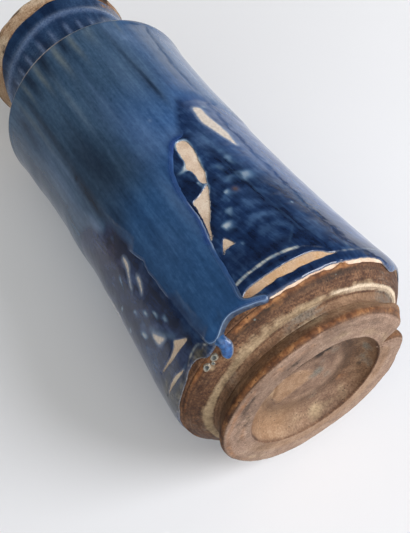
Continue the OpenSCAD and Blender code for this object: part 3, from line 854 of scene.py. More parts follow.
def base_marks(ph, r, z, s):
    hs = heel_way(r)
    heel = (r > RIDGE[0] + 0.1) & (z > 13.4)
    a = wrap(ph)
    end = HEEL_L
    rust = np.where(heel, (0.52 + 0.26 * np.exp(-((a - 6) / 13.0) ** 2)) * np.exp(-((hs - 2.0) / 1.9) ** 2) * ss(-18, -10, a) * ss(75, 40, a), 0)
    rust += np.where(heel, 0.45 * np.exp(-((hs - 1.0) / 1.2) ** 2) * ss(-14, -28, a) * ss(-85, -65, a), 0)
    rust += np.where(heel, blobs(a, hs, [(-37, 0, 6, 2.2, 0.5), (41, 1.0, 2.6, 1.2, 0.7), (29, 1.6, 3.5, 0.8, 0.4), (-9, 0.8, 6, 2.0, 0.45),
                                         (8, 4.4, 10, 1.6, 0.3), (52, 6.0, 8, 1.6, 0.3), (-28, 6, 7, 2, 0.3), (20, 8.2, 12, 1.2, 0.25)]), 0)
    left = ss(20, -5, a)
    worn = lerp(0.5, 0.6, left) + 0.1 * np.exp(-((a + 20) / 14.0) ** 2) + 0.25 * ss(-34, -46, a) + 0.16 * np.exp(-((a - 18) / 10.0) ** 2)
    pale = np.where(heel, worn * np.exp(-((hs - end + 0.3) / lerp(1.35, 1.75, left)) ** 2), 0)
    pale += np.where(heel, blobs(a, hs, [(-12, 8.4, 12, 2.4, 0.42), (-20, 9.8, 9, 1.8, 0.3), (-31, 4.4, 2.6, 1.8, 0.5), (-23, 6.6, 3, 1.8, 0.45), (4, 9.2, 12, 2, 0.34), (24, 10.4, 14, 1.4, 0.14), (46, 10.0, 14, 1.6, 0.36), (60, 9.4, 8, 1.8, 0.3), (-60, 9.0, 14, 2.2, 0.3), (-62, 11, 14, 2.0, 0.26)]), 0)
    cream = np.where(heel, (0.96 - 0.3 * np.exp(-((a - 75) / 5.0) ** 2)) * np.exp(-((hs - end + 0.4) / 1.1) ** 2) * ss(24, 40, a), 0)
    p = spot(ph, z)
    torn = 0.35 * fbm(p * 0.11, 251, 3) + 0.2 * fbm(p * 0.33, 255, 2)
    pale = np.where(pale > 0.02, pale + torn * ss(0.05, 0.3, pale), pale)
    cream = np.where(cream > 0.02, cream + torn * ss(0.05, 0.3, cream), cream)
    lip = (~heel) & (z > 11.8) & (r > 49)
    pale += np.where(lip, worn * (0.35 + 0.6 * ss(12.4, 13.2, z)), 0)
    cream += np.where(lip, 0.45 * ss(28, 46, a) * ss(12.2, 13.2, z), 0)
    dark = np.where(heel, 0.44 * np.exp(-((hs - 3.6) / 2.2) ** 2) * ss(70, 36, np.abs(a - 24)), 0)
    dark += np.where(heel, 0.3 * ss(-26, -40, a) * ss(-58, -46, a) * ss(9, 4, hs) + 0.16 * ss(-46, -58, a) * ss(9, 4, hs) + 0.25 * np.exp(-((hs - 7.2) / 0.8) ** 2) * ss(5, 30, a), 0)
    dark += np.where(heel, blobs(a, hs, [(34, 5.5, 10, 1.6, 0.22), (12, 6.4, 10, 1.2, 0.2), (-40, 7, 8, 2, 0.2), (0, 2.4, 14, 1.3, 0.22), (40, 2.6, 10, 1.2, 0.2)]), 0)
    groove = (~heel) & (r > 46) & (z <= 12.2)
    dark += np.where(groove, 0.06 * ss(-4, -40, a) + blobs(a, z, [(-24, 10.4, 6, 1.0, 0.24), (34, 10.4, 8, 1.0, 0.12)]), 0)
    rust += np.where(groove, 0.22 + 0.1 * np.exp(-((a + 10) / 18.0) ** 2), 0)
    grey = np.where(groove | lip, 0.55 * np.exp(-((a - 16) / 20.0) ** 2) + 0.4 * np.exp(-((a + 34) / 14.0) ** 2) + 0.5 * ss(50, 75, a), 0)
    grey += np.where(heel, 0.36 * ss(46, 70, a) * ss(1.5, 4, hs) + 0.34 * ss(-45, -75, a) + blobs(a, hs, [(-27, 9.0, 6, 1.6, 0.35)]), 0)
    under = (z < 9.6) & (r < 40)
    x, y = r * np.cos(np.radians(ph)), r * np.sin(np.radians(ph))
    pale += np.where(groove, blobs(a, z, [(18, 9.4, 9, 1.3, 0.6), (60, 9.6, 12, 1.3, 0.36), (2, 9.3, 7, 1.0, 0.4), (-40, 9.4, 10, 1.2, 0.25)]), 0)
    out = {"rust": rust, "pale": pale, "dark": dark, "grey": grey, "pink": 0 * ph, "deep": np.where(heel, 0.34 * np.exp(-((hs - 4.2) / 2.6) ** 2) * ss(-16, -6, a) * ss(46, 26, a), 0), "tan": np.where(groove, 0.3 + 0.25 * ss(-10, 40, a), 0.0), "cream": cream, "arc": np.where(under, 0.22 * s, s)}
    for k, v in hollow_marks(a, x, y).items():
        out[k] = np.where(under, v, out[k])
    return out


def arc_line(cx, cz, ax, az, a0, a1, n):
    q = np.radians(np.linspace(a0, a1, n))
    return [(cx + ax * np.cos(t), cz + az * np.sin(t)) for t in q]


base_line = [(0, 9)] + [(r, 9.0) for r in np.linspace(0.6, 30, 44)] + [(40, 9.0), (47.5, 9.0)]
base_line += [(48.9 + (RIDGE[0] - 48.9) * (1 - math.cos(q)), 9 + 4.3 * math.sin(q)) for q in np.radians(np.linspace(0, 84, 14))]
base_line += [(float(_hr[k]), float(_hz[k])) for k in np.linspace(2, 119, 46).astype(int)]
base_line += [(HEEL_R + 0.05, 21.4), (55, 21.4), (30, 21.3), (0.6, 21.2), (0, 21.2)]
base = revolve("base", base_line, 400, base_disp, clay_attrs(base_marks), False, foot_shift)
piece(base, clay, "bare_clay", "base", "foot_luting", "wall_luting")


def foot_disp(ph, r, z, s):
    a = wrap(ph)
    p = spot(ph, z, r)
    h = clay_rough(ph, r, z, 1.1)
    outer = ss(49.0, 51.0, r) * ss(7.0, 5.0, z)
    chips = np.clip(fbm(spot(ph, 0 * z, 50) * 0.11, 221, 3) - 0.15, 0, 1)
    h = h - outer * 1.3 * chips * ss(4.5, 1.0, z) + outer * 0.25 * fbm(spot(ph, 0 * z, 50) * 0.05, 224, 2)
    face = (z < 0.4) & (r > 37)
    h = np.where(face, np.minimum(h, 0.0) - 0.04 * (1 + np.sin(2 * np.pi * r / 3.4 + 1.3 * fbm(p * 0.04, 230, 2))) - 0.1, h)
    bowl = (r < 37.6) & (z > 0.2)
    h = np.where(bowl, 0.7 * h + 0.02 * np.sin(2 * np.pi * z / 2.9 + np.radians(ph)) + 0.3 * fbm(p * 0.13, 233, 2), h)
    notch = np.exp(-((a - 97) / 5.4) ** 2)
    dr = -13.5 * notch * ss(36, 50, r) * ss(9.2, 5.0, z) + 3.0 * np.exp(-((a - 78) / 12.0) ** 2) * np.exp(-((z - 5.4) / 1.8) ** 2) * (r > 47)
    dr = dr + (2.3 * np.exp(-(wrap(a - 160) / 30.0) ** 2) + 1.6 * np.exp(-(wrap(a + 148) / 26.0) ** 2) + 0.7 * np.exp(-((a - 138) / 14.0) ** 2)) * ss(44, 51, r) * ss(7.5, 2.0, z)
    dz = 1.2 * notch * ss(41, 47, r) * ss(4, 0, z)
    return h, dr, np.maximum(dz, -z)


def foot_marks(ph, r, z, s):
    a = wrap(ph)
    side = (r > 46.0) & (z > 0.4)
    on = ss(0.5, 1.4, z)
    rust = np.where(side, on * np.exp(-((z - 2.6) / 2.0) ** 2) * (0.5 + 0.22 * ss(66, 30, np.abs(a - 8))), 0)
    dark = np.where(side, 0.06 * ss(4.4, 6.4, z) * ss(70, 40, a) + on * 0.16 * ss(-18, -46, a), 0)
    rust += np.where(side, 0.28 * ss(4.0, 5.5, z), 0)
    grey = np.where(side, ss(5.0, 7.5, z) * (0.5 * np.exp(-((a - 18) / 20.0) ** 2) + 0.4 * np.exp(-((a + 32) / 12.0) ** 2) + 0.4 * ss(45, 75, a)), 0)
    pale = np.where(side, blobs(a, z, [(20, 7.0, 8, 1.8, 0.72), (52, 6.2, 9, 1.4, 0.36), (-38, 5.8, 9, 1.6, 0.36), (2, 8.2, 8, 1.0, 0.4), (64, 7.6, 10, 1.2, 0.35)]), 0)
    face = ss(1.1, 0.4, z) * (r > 36.4)
    pink = 0.95 * face
    near = ss(96, 66, np.abs(a + 6))
    dark = dark + face * (0.2 * near * ss(50, 44, r) + 0.06 + 0.16 * np.exp(-(wrap(a + 60) / 36.0) ** 2) + 0.08 * np.exp(-(wrap(a + 145) / 30.0) ** 2) + blobs(a, r, [(2, 41, 12, 3, 0.25), (-36, 45, 9, 2.5, 0.2), (60, 46, 8, 2, 0.2)]))
    rust = rust + face * (0.22 * near + blobs(a, r, [(0, 45, 20, 3, 0.2), (-70, 41, 14, 2, 0.3), (140, 47, 14, 2, 0.24), (-95, 48.6, 34, 1.6, 0.4), (-40, 48.4, 20, 1.4, 0.3), (170, 48.6, 24, 1.4, 0.3), (-118, 40, 18, 2, 0.26), (118, 40, 14, 2, 0.26)]))
    pale = pale + face * (0.08 + blobs(a, r, [(34, 42, 12, 3, 0.35), (62, 40, 12, 3.2, 0.45), (88, 41, 12, 3, 0.4), (-150, 44, 26, 5, 0.22), (165, 44, 20, 4, 0.26), (-112, 46, 14, 3, 0.24), (-50, 40, 12, 2, 0.25)]))
    grey = grey + face * blobs(a, r, [(-20, 42, 10, 3, 0.3), (108, 44, 12, 4, 0.3), (-165, 41, 14, 2, 0.3), (44, 47, 10, 2.4, 0.26)])
    rust = rust + face * np.where(r < 39.5, 0.34 * np.exp(-((r - 37.4) / 1.3) ** 2) * (ss(-178, -150, a) * ss(-95, -120, a) + ss(150, 165, a) + 0.7 * ss(60, 80, a) * ss(125, 105, a)), 0)
    deep = face * (0.34 * np.exp(-((a + 18) / 15.0) ** 2) + 0.38 * np.exp(-((a - 27) / 16.0) ** 2) + 0.3 * np.exp(-(wrap(a + 108) / 17.0) ** 2) + 0.12 * np.exp(-((a - 105) / 16.0) ** 2))
    deep = deep + np.where(side, 0.34 * np.exp(-((a + 34) / 16.0) ** 2) * ss(6.5, 4.0, z) * on, 0)
    inner = face * ss(44.5, 41.0, r) * 0.62 * ss(98, 66, np.abs(wrap(a - 178)))
    grey = grey + face * blobs(a, r, [(70, 41, 14, 3, 0.3)])
    out = {"rust": rust, "pale": pale, "dark": dark, "grey": grey, "deep": deep, "pink": np.clip(pink, 0, 1), "tan": inner + np.where(side, 0.55 * ss(3.0, 5.6, z) * (0.7 + 0.3 * ss(-10, 40, a)) + 0.25 * ss(10, 40, a) * on, 0), "cream": 0 * ph, "arc": np.where((r < 37.2) & (z > 0.2), 0.2 * s, np.where((r < 48.5) & (z < 0.4), 0.16 * s, s))}
    bowl = ss(0.0, 2.4, z) * (r < 37.2)
    x, y = r * np.cos(np.radians(ph)), r * np.sin(np.radians(ph))
    for k, v in hollow_marks(a, x, y).items():
        out[k] = np.where(r < 37.2, lerp(out[k], v, bowl), out[k])
    return out


foot_line = [(r, 0.0) for r in np.linspace(37.5, 48.4, 20)] + [(49.1, 0.06), (49.8, 0.25), (50.4, 0.6), (50.9, 1.1), (51.25, 1.7), (51.45, 2.4), (51.5, 3.1), (51.4, 3.8), (51.15, 4.5),
                                                               (50.85, 5.15), (50.5, 5.8), (50.15, 6.45), (49.8, 7.1), (49.45, 7.75), (49.1, 8.4)]
foot_line += [(48.8, 9.0), (48.2, 9.3), (40, 9.4), (30, 9.4), (23.4, 9.4)]
foot_line += [(24 + 11.9 * math.sin(q), 8.9 * (0.95 * math.cos(q) + 0.05)) for q in np.radians(np.linspace(4, 88, 36))]
foot_line += [(36.2, 0.3), (36.8, 0.08)]
foot = revolve("foot_ring", foot_line, 400, foot_disp, clay_attrs(foot_marks), True, foot_shift)
piece(foot, clay, "bare_clay", "foot_ring")

# clay wall behind the coats
wall_rows = [21.4, 22.5, 24, 26, 28, 31] + list(np.arange(36, 226, 6.0)) + [226.0]
wall_line = [(51.6, 21.4)] + [(float(clay_wall(z)) - 0.02, float(z)) for z in wall_rows]
wall_line += [(float(r_wall(z)) - 8.1, float(z)) for z in [226.0] + list(np.arange(220, 36, -6.0)) + [30.4]] + [(55.9, 25.9), (54.1, 22.6)]
wall = revolve("wall", wall_line, 180, lambda ph, r, z, s: (0 * ph, 0 * ph, 0 * ph),
               clay_attrs(lambda ph, r, z, s: {"rust": 0.3 * ss(30, 22, z)}), True)
piece(wall, clay, "bare_clay", "wall")

# ---------------------------------------------------------------------------
# Slip, painted glaze, opaque glaze, run
# ---------------------------------------------------------------------------
front_cols = np.arange(-72, 76, 0.85)
back_cols = np.arange(front_cols[-1] + 2.6, 360 + front_cols[0] - 1.0, 2.9)
ring_cols = np.concatenate([front_cols, wrap(back_cols)])
low_rows = np.concatenate([np.arange(-4.0, 8, 0.55), np.arange(8, 132, 0.85)])
up_rows = np.arange(136, 208, 8.0)
top_rows = np.array([208.0, 209.5])

# slip
m = Mat("pale_slip")
n1 = m.noise(m.coords(0.16), 1.0, 5, 0.6)
n2 = m.noise(m.coords(1.4), 1.0, 5, 0.6)
c = m.ramp(m.math("ADD", m.math("MULTIPLY", n1, 0.6), m.math("MULTIPLY", n2, 0.4)),
           [(0.38, lin(204, 176, 150)), (0.5, lin(226, 202, 178)), (0.62, lin(240, 224, 204))])
c = m.mix(m.math("MULTIPLY", m.attr("warm"), m.span(n1, 0.35, 0.6, 0.5, 1.0)), c, m.ramp(n2, [(0.38, lin(206, 158, 110)), (0.6, lin(230, 192, 150))]))
specks = m.math("MULTIPLY", m.span(m.cells(m.coords(0.5), 1.0, "F1"), 0.16, 0.06), m.span(n1, 0.45, 0.58))
c = m.mix(m.math("MULTIPLY", specks, 0.7), c, lin(120, 78, 50))
c = m.mix(m.math("MULTIPLY", m.attr("worn"), m.span(n2, 0.38, 0.58), clamp=True), c, lin(158, 98, 58))
slip_mat = m.surface(c, m.span(n2, 0.3, 0.7, 0.40, 0.6), m.bump(m.math("ADD", n2, m.math("MULTIPLY", n1, 1.5)), 0.15, 0.8), spec=0.4)


def slip_attrs(ph, t, s):
    a = wrap(ph)
    warm = (0.75 * ss(18, 5, t) + 0.15 * ss(60, 15, t)) * ss(1.5, 3.5, t) * ss(-26, -12, a) + 0.1
    worn = blobs(a, t, [(0.5, 7.2, 2.6, 1.8, 0.9), (12, 7.6, 3, 1.4, 0.35), (5, 6, 2.4, 0.8, 0.5), (26, 6.6, 8, 1.2, 0.25), (41, 0, 4, 1.5, 0.7), (29, -0.6, 5, 1, 0.5)])
    return {"warm": np.clip(warm, 0, 1), "worn": worn + 0.4 * ss(1.0, 0.2, s)}


slip = coat("slip_coat", ring_cols, np.concatenate([low_rows[::2], up_rows, top_rows]), slip_sd, h_slip,
            lambda p, t, s: wob(p, t) * 0 - 0.2, slip_attrs)
piece(slip, slip_mat, "pale_slip", "slip_coat")

# painted glaze: soft pale marks left by the brush, each with a dark side
DOTS = [
    (27.0, 98.0, 2.4, 3.2, 0.5), (24.4, 87.6, 1.8, 1.8, 0.36), (27.6, 89.4, 2.8, 2.4, 0.46), (35.2, 89.0, 3.4, 4.0, 0.78), (34.6, 102.4, 2.0, 4.2, 0.66), (34.4, 108.6, 2.2, 2.0, 0.42),
    (21.6, 81.6, 1.7, 2.0, 0.85), (16.2, 71.0, 2.0, 3.0, 0.68), (11.2, 64.2, 2.4, 2.8, 0.95), (26, 60, 4.6, 2.0, 0.22), (20, 58, 2.5, 2.0, 0.12), (31, 76, 2.5, 3, 0.14),
    (24, 72, 2.6, 1.8, 0.14), (30, 68, 2.4, 2.0, 0.12), (14.5, 56, 1.6, 1.6, 0.14), (17, 63.5, 1.6, 1.6, 0.14),
    (-54, 60, 1.7, 3.2, 0.95, -0.55), (-44, 64.5, 1.25, 2.8, 0.9, -0.2), (-39, 58.5, 1.25, 3.0, 0.9, -0.25), (-35, 51.5, 1.2, 3.0, 0.75, -0.2),
    (-48, 91, 1.2, 3.0, 0.5), (-51, 71.5, 1.3, 2.8, 0.75, -0.3), (-36.5, 108.5, 1.2, 2.0, 0.35)]
LIGHT_DOTS = DOTS + [
    (44.3, 62.8, 0.9, 1.1, 0.9), (11.6, 51, 0.7, 1.5, 0.8), (49, 29.5, 1.4, 3, 0.5), (47.5, 145.5, 2.2, 2.0, 0.7), (54, 157, 3, 3, 0.3),
    # on this line the two small spots near (14, 93) are painted glints
    (11.3, 104.9, 2.8, 1.4, 0.7), (13.6, 106.6, 1.6, 1.8, 0.8), (14.3, 92.4, 0.55, 1.5, 1.0), (13.9, 94.2, 0.4, 0.9, 0.6),
    # on this line the leaning streaks at phi -60.4 and -66 are painted reflections
    (-60.4, 83.4, 2.6, 1.3, 0.95, -0.8), (-66, 73.5, 3.2, 1.5, 0.9, -0.9), (-40, 26.6, 4, 1.0, 0.45), (-58, 66, 3, 1.6, 0.3, -0.8), (-43, 44.5, 2.4, 1.6, 0.3)]
HAZE = [
    (33, 118, 5, 9, 0.4), (37, 104, 4, 9, 0.3), (38, 89, 3.6, 4, 0.35), (44, 100, 4, 14, 0.3), (44, 53, 3.6, 9, 0.36, -0.2), (43, 42, 4, 4, 0.4), (28, 74, 4.5, 8, 0.32), (40, 74, 4, 8, 0.16), (29, 120, 4, 6, 0.35), (44, 90, 4, 8, 0.4), (27, 60, 5, 3, 0.22),
    (52, 26, 7, 3, 0.3), (62, 150, 12, 10, 0.6), (-60, 52, 6, 6, 0.4), (-50, 62, 5, 4, 0.3), (-57, 45, 8, 3, 0.4), (24, 88, 5, 6, 0.15)]
DARK_SPOTS = [
    (10.5, 95.5, 4.2, 8.0, 0.72), (12.5, 114, 2.2, 5, 0.4), (15.6, 92.4, 0.5, 1.7, 1.1), (5.4, 77, 0.9, 9, 0.8), (42, 70, 5, 9, 0.14), (17, 84, 2, 10, 0.3, 0.3), (22, 92, 2.0, 6, 0.3), (29.5, 108, 2.6, 10, 0.4), (31, 99, 1.6, 6, 0.3), (32.5, 70, 3, 18, 0.3, -0.12), (36, 50, 3, 12, 0.45), (32.6, 78, 0.9, 18, 0.6), (37.2, 58, 0.9, 14, 0.6), (34.4, 56, 0.6, 12, 0.4),
    (20, 41.3, 17, 3.3, 0.95), (18, 33.5, 19, 1.7, 0.95), (22, 23.6, 26, 1.9, 0.85), (6, 47, 5, 4, 0.5), (24, 52, 9, 4.5, 0.4), (40, 75, 4, 6, 0.14),
    (-30, 44, 2.6, 14, 0.9), (-31.5, 66, 2.6, 12, 0.75), (-34, 86, 2.0, 7, 0.45), (-36, 100, 4, 6, 0.35), (-30, 32, 3, 4, 0.6), (-45, 41.5, 6, 2.2, 0.75, -0.6),
    (-38, 66, 2.4, 4, 0.4), (-40, 76, 2.4, 4, 0.35), (-47, 80, 3, 4, 0.35), (-42, 97, 4, 4, 0.35), (-47, 58, 2.4, 3, 0.4), (-42, 31, 8, 1.6, 0.55), (24.6, 124.5, 2.2, 2.2, 0.8),
    (-66, 80, 5, 1.8, 0.4, -0.9), (-63, 90, 6, 2, 0.35, -0.9), (-32.5, 101, 3.6, 12, 0.8), (-31, 90, 2.2, 6, 0.6), (-44, 100, 6, 3, 0.3)]
RING_LINES = [
    ([(-1.5, 34.6), (3, 35.3), (8, 35.8), (14, 36.6), (20, 36.6), (25, 36.0), (28, 35.3)], 1.0),
    ([(27, 35.5), (31, 34.4), (35, 32.2), (37, 30.4)], 0.35),
    ([(36, 27.2), (40, 26.6), (46, 26.0), (54, 25.8), (62, 26.0), (72, 26.4)], 0.42),
    ([(-37.5, 25.4), (-34.5, 26.6), (-31, 27.7), (-28, 27.9), (-25.8, 26.8), (-24.4, 24.6)], 0.6)]
VEINS = [([(33.4, 86), (34, 74), (35, 62), (35.8, 50), (36.4, 44)], 0.3), ([(37, 76), (38.2, 64), (39.2, 52)], 0.24),
         ([(27, 39), (29, 42), (32, 45.5), (34, 48)], 0.3), ([(31, 104), (31.6, 92), (32, 84)], 0.2),
         ([(-41.2, 84.5), (-43, 81), (-44.8, 77.5)], 0.4), ([(-46, 91.5), (-47.8, 88), (-49.4, 84.5)], 0.34)]
BAND_L = [(-46.5, 56), (-43.6, 52), (-40.4, 47.4), (-37.6, 43.4), (-35.6, 40.6)]


def shells(phi, z, items):
    """Soft marks with a sharp upper left side, fading down and to the right."""
    v = np.zeros(phi.shape)
    for it in items:
        p0, z0, rx, rz, w = it[:5]
        lean = it[5] if len(it) > 5 else 0.0
        x = wrap(phi - p0) - lean * (z - z0)
        dx = np.abs(x) / (rx * np.where(x > 0, 1.35, 0.75))
        dz = np.abs(z - z0) / (rz * np.where(z > z0, 0.75, 1.3))
        v = v + w * np.exp(-(dx ** 2.3 + dz ** 2.3))
    return v


def paint_attrs(ph, t, s):
    a, z = wrap(ph), t + 21.0
    q, tt = warp(ph, t, 0.5, 0.2, 131)
    zz = tt + 21
    soft = np.full(a.shape, -9.0)
    for shape in SOFT + SOFT_BACK:
        soft = np.maximum(soft, sd_shape(q, zz, shape))
    line = np.zeros(a.shape)
    for ln, w in RING_LINES:
        line = np.maximum(line, w * np.exp(-(dist_line(q, zz, ln) / 0.8) ** 2))
    near_b = sd_shape(q, zz, PATCH_B)
    pts = spot(ph, z)
    qd, zd = warp(ph, t, 1.1, 0.34, 137)
    zd = zd + 21
    light = shells(qd, zd, DOTS) + blobs(q, zz, LIGHT_DOTS[len(DOTS):]) + 0.45 * np.exp(-(dist_line(q, zz, BAND_L) / 2.6) ** 2)
    for ln, w in VEINS:
        light = light + w * np.exp(-(dist_line(q, zz, ln) / 0.9) ** 2)
    flank = ss(10, 20, a + 0.12 * (z - 80)) * ss(64, 74, z)
    light += flank * ss(-1.9, 0.0, near_b + 0.5 * fbm(pts * 0.45, 139, 2)) * 0.85
    shade = blobs(qd, zd, [(d[0] + 0.55 * d[2], d[1] - 1.7 * d[3], 1.2 * d[2], 0.9 * d[3], 0.6 * d[4]) for d in DOTS])
    shade += blobs(qd, zd, [(d[0] - 1.9 * d[2], d[1] + 0.4 * d[3], 0.8 * d[2], 1.2 * d[3], 0.45 * d[4]) for d in DOTS])
    arch = zd + 0.05 * (qd - 26) ** 2
    ripple = np.sin(2 * np.pi * (arch - 61) / 9.4 + np.pi / 2 + 1.2 * fbm(pts * 0.06, 143, 2)) * np.exp(-((a - 25) / 8.5) ** 2) * ss(44, 54, z) * ss(112, 98, z)
    ripple += 0.6 * np.sin(2 * np.pi * (zd + 0.9 * qd) / 11.0 + 1.5 * fbm(pts * 0.06, 145, 2)) * ss(-34, -40, a) * ss(-80, -66, a) * ss(112, 100, z) * ss(40, 50, z)
    for d, e, mir in ((92, 4, False), (170, -5, False), (-140, 6, True)):
        w = wrap((-q if mir else q) - d)
        light += 0.85 * shells(w, zz + e, DOTS[:16])
        shade += 0.5 * blobs(w, zz + e - 3, DOTS[:16])
    dark = blobs(q, zz, DARK_SPOTS) + shade
    dark += 0.45 * np.exp(-((near_b + 1.2) / 1.1) ** 2) * (near_b < 0) * (a < 17)
    # mid: a lighter blue toward the right flank, painted in for the pale reflection of the bright floor; it starts
    # further right lower down
    mid = ss(46, 60, a + 14 * ss(70, 108, z) - 6 * ss(75, 50, z)) * ss(100, 85, a) * ss(29, 34, z)
    # painted shade on the left side, away from the lamp, greyed by the shaded floor it reflects
    slate = ss(-25, -36, a) * ss(-120, -90, a)
    film = blobs(a, z, [(-30, 24.2, 5.5, 2.9, 1.0), (-50, 23.5, 14, 2.4, 0.9), (-62, 27, 9, 5.5, 0.95), (-7, 25.2, 7, 1.0, 0.8), (-53, 33.4, 8, 1.4, 0.5), (-63, 33.5, 8, 3.5, 0.75)])
    brown = blobs(a, z, [(25.8, 81, 1.3, 1.5, 0.9)])
    purple = blobs(a, z, [(-40, 104, 8, 8, 0.9), (-42, 94, 4, 4, 0.5), (-52, 112, 8, 8, 0.5)])
    turn_ = np.radians(ph + 0.15 * z)
    return {"soft": soft, "line": line, "light": np.clip(light, 0, 1), "dark": np.clip(dark, 0, 1.15), "mid": mid, "haze": np.clip(blobs(q, zz, HAZE), 0, 1),
            "slate": slate, "ripple": ripple, "film": np.clip(film, 0, 1), "brown": np.clip(brown, 0, 1), "purple": np.clip(purple, 0, 1), "edge": s,
            "hx": 62 * np.cos(turn_), "hy": 62 * np.sin(turn_), "hz": z}


def paint_color(m):
    hx, hy, hz = m.attr("hx"), m.attr("hy"), m.attr("hz")

    def brush(k, kz, detail):
        return m.noise(m.combine(m.math("MULTIPLY", hx, k), m.math("MULTIPLY", hy, k), m.math("MULTIPLY", hz, kz)), 1.0, detail, 0.6)

    cloud, strk = brush(0.12, 0.05, 4), brush(0.55, 0.05, 3)
    fine = m.noise(m.coords(0.8), 1.0, 5, 0.6)
    mott = m.noise(m.coords(0.2), 1.0, 4, 0.6, 0.4)
    tone = m.math("ADD", m.math("MULTIPLY", cloud, 0.4), m.math("ADD", m.math("MULTIPLY", strk, 0.25), m.math("MULTIPLY", mott, 0.35)))
    tone = m.math("ADD", tone, m.math("MULTIPLY", m.attr("ripple"), 0.075))
    c = m.ramp(tone, [(0.38, lin(11, 28, 58)), (0.5, lin(27, 51, 89)), (0.62, lin(56, 85, 122))])
    # lighter blue toward the right flank, a painted reflection of the bright floor
    c = m.mix(m.math("MULTIPLY", m.attr("mid"), 0.8), c, m.ramp(tone, [(0.38, lin(44, 72, 120)), (0.62, lin(80, 110, 158))]))
    # painted shade on the left side, away from the lamp
    c = m.mix(m.math("MULTIPLY", m.attr("slate"), 0.85), c, m.ramp(tone, [(0.38, lin(15, 26, 52)), (0.5, lin(29, 44, 80)), (0.62, lin(58, 75, 114))]))
    c = m.mix(m.math("MULTIPLY", m.attr("purple"), 0.7), c, m.ramp(tone, [(0.4, lin(40, 34, 46)), (0.6, lin(78, 68, 84))]))
    c = m.mix(m.math("MULTIPLY", m.attr("haze"), 0.8), c, m.ramp(tone, [(0.4, lin(58, 90, 136)), (0.6, lin(98, 128, 166))]))
    c = m.mix(m.math("MULTIPLY", m.attr("dark"), 0.85, clamp=True), c, m.ramp(tone, [(0.4, lin(7, 13, 30)), (0.6, lin(14, 27, 58))]))
    c = m.mix(m.math("MULTIPLY", m.span(m.attr("light"), 0.05, 1.0), 0.92), c, m.ramp(m.attr("light"), [(0.3, lin(84, 120, 156)), (0.62, lin(116, 146, 174)), (1.0, lin(192, 200, 202))]))
    lw = m.math("MULTIPLY", m.attr("line"), m.span(mott, 0.36, 0.58, 0.5, 1.0))
    c = m.mix(m.span(lw, 0.1, 0.9), c, m.ramp(strk, [(0.4, lin(128, 146, 160)), (0.6, lin(206, 204, 190))]))
    sw = m.math("ADD", m.attr("soft"), m.math("MULTIPLY", m.math("SUBTRACT", fine, 0.5), 1.4))
    c = m.mix(m.span(sw, -2.4, 0.1, 0.0, 0.55), c, lin(146, 162, 184))
    c = m.mix(m.span(sw, -0.6, 0.9), c, m.ramp(fine, [(0.35, lin(206, 192, 176)), (0.65, lin(230, 218, 204))]))
    c = m.mix(m.attr("brown"), c, lin(96, 74, 64))
    c = m.mix(m.math("MULTIPLY", m.attr("film"), m.span(fine, 0.25, 0.6, 0.6, 1.0)), c, m.ramp(mott, [(0.42, lin(48, 48, 44)), (0.6, lin(98, 92, 78))]))
    return c, tone, fine


m = Mat("painted_glaze")
c, tone, fine = paint_color(m)
c = m.mix(m.span(m.attr("edge"), 0.5, 0.0, 0.0, 0.7), c, m.ramp(fine, [(0.35, lin(50, 60, 88)), (0.65, lin(150, 146, 142))]))
wave = m.noise(m.coords(0.11), 1.0, 3, 0.5)
ripple = m.noise(m.coords(0.4), 1.0, 1, 0.5)
paint_mat = m.surface(c, m.span(fine, 0.3, 0.7, 0.07, 0.13), m.bump(m.math("ADD", wave, m.math("MULTIPLY", ripple, 0.04)), 0.35, 0.5), spec=0.65)

paint = coat("painted_glaze", ring_cols, np.concatenate([low_rows, up_rows, top_rows]), paint_sd, h_paint,
             lambda p, t, s: under_paint(p, t) - 0.12, paint_attrs)
piece(paint, paint_mat, "painted_glaze", "painted_glaze")

# opaque coat and run
T_DARK = [
    (-21.5, 226, 3.0, 17, 0.95), (-9, 228, 3.2, 16, 1.0), (4.6, 229, 2.4, 13, 0.9), (14, 228, 2.2, 9, 0.35), (-31, 208, 2.2, 26, 0.62),
    (-31, 176, 3.2, 26, 0.45), (28, 208, 1.4, 18, 0.38), (29.4, 170, 1.7, 16, 0.7), (-42.5, 213, 2.8, 9, 0.6), (-44, 200, 2.2, 8, 0.4),
    (-21, 164, 8, 22, 0.55), (-19, 140, 11, 20, 0.62), (-9, 124, 12, 14, 0.26), (-33.5, 136, 3.0, 22, 0.9), (-34, 153, 1.0, 1.3, 1.0),
    (-53, 153.5, 1.3, 1.7, 0.8), (-58.5, 149, 1.5, 1.6, 0.7), (-3, 190, 1.0, 30, 0.25), (-60, 200, 6, 30, 0.25), (-18, 185, 0.8, 16, 0.35), (-26, 110, 6, 9, 0.55),
    (95, 200, 5, 30, 0.6), (118, 215, 4, 18, 0.7), (140, 190, 4, 30, 0.5), (165, 220, 4, 16, 0.7), (-170, 180, 6, 30, 0.5), (-140, 210, 4, 22, 0.7),
    (-115, 190, 5, 30, 0.5), (-95, 215, 3, 16, 0.6)]
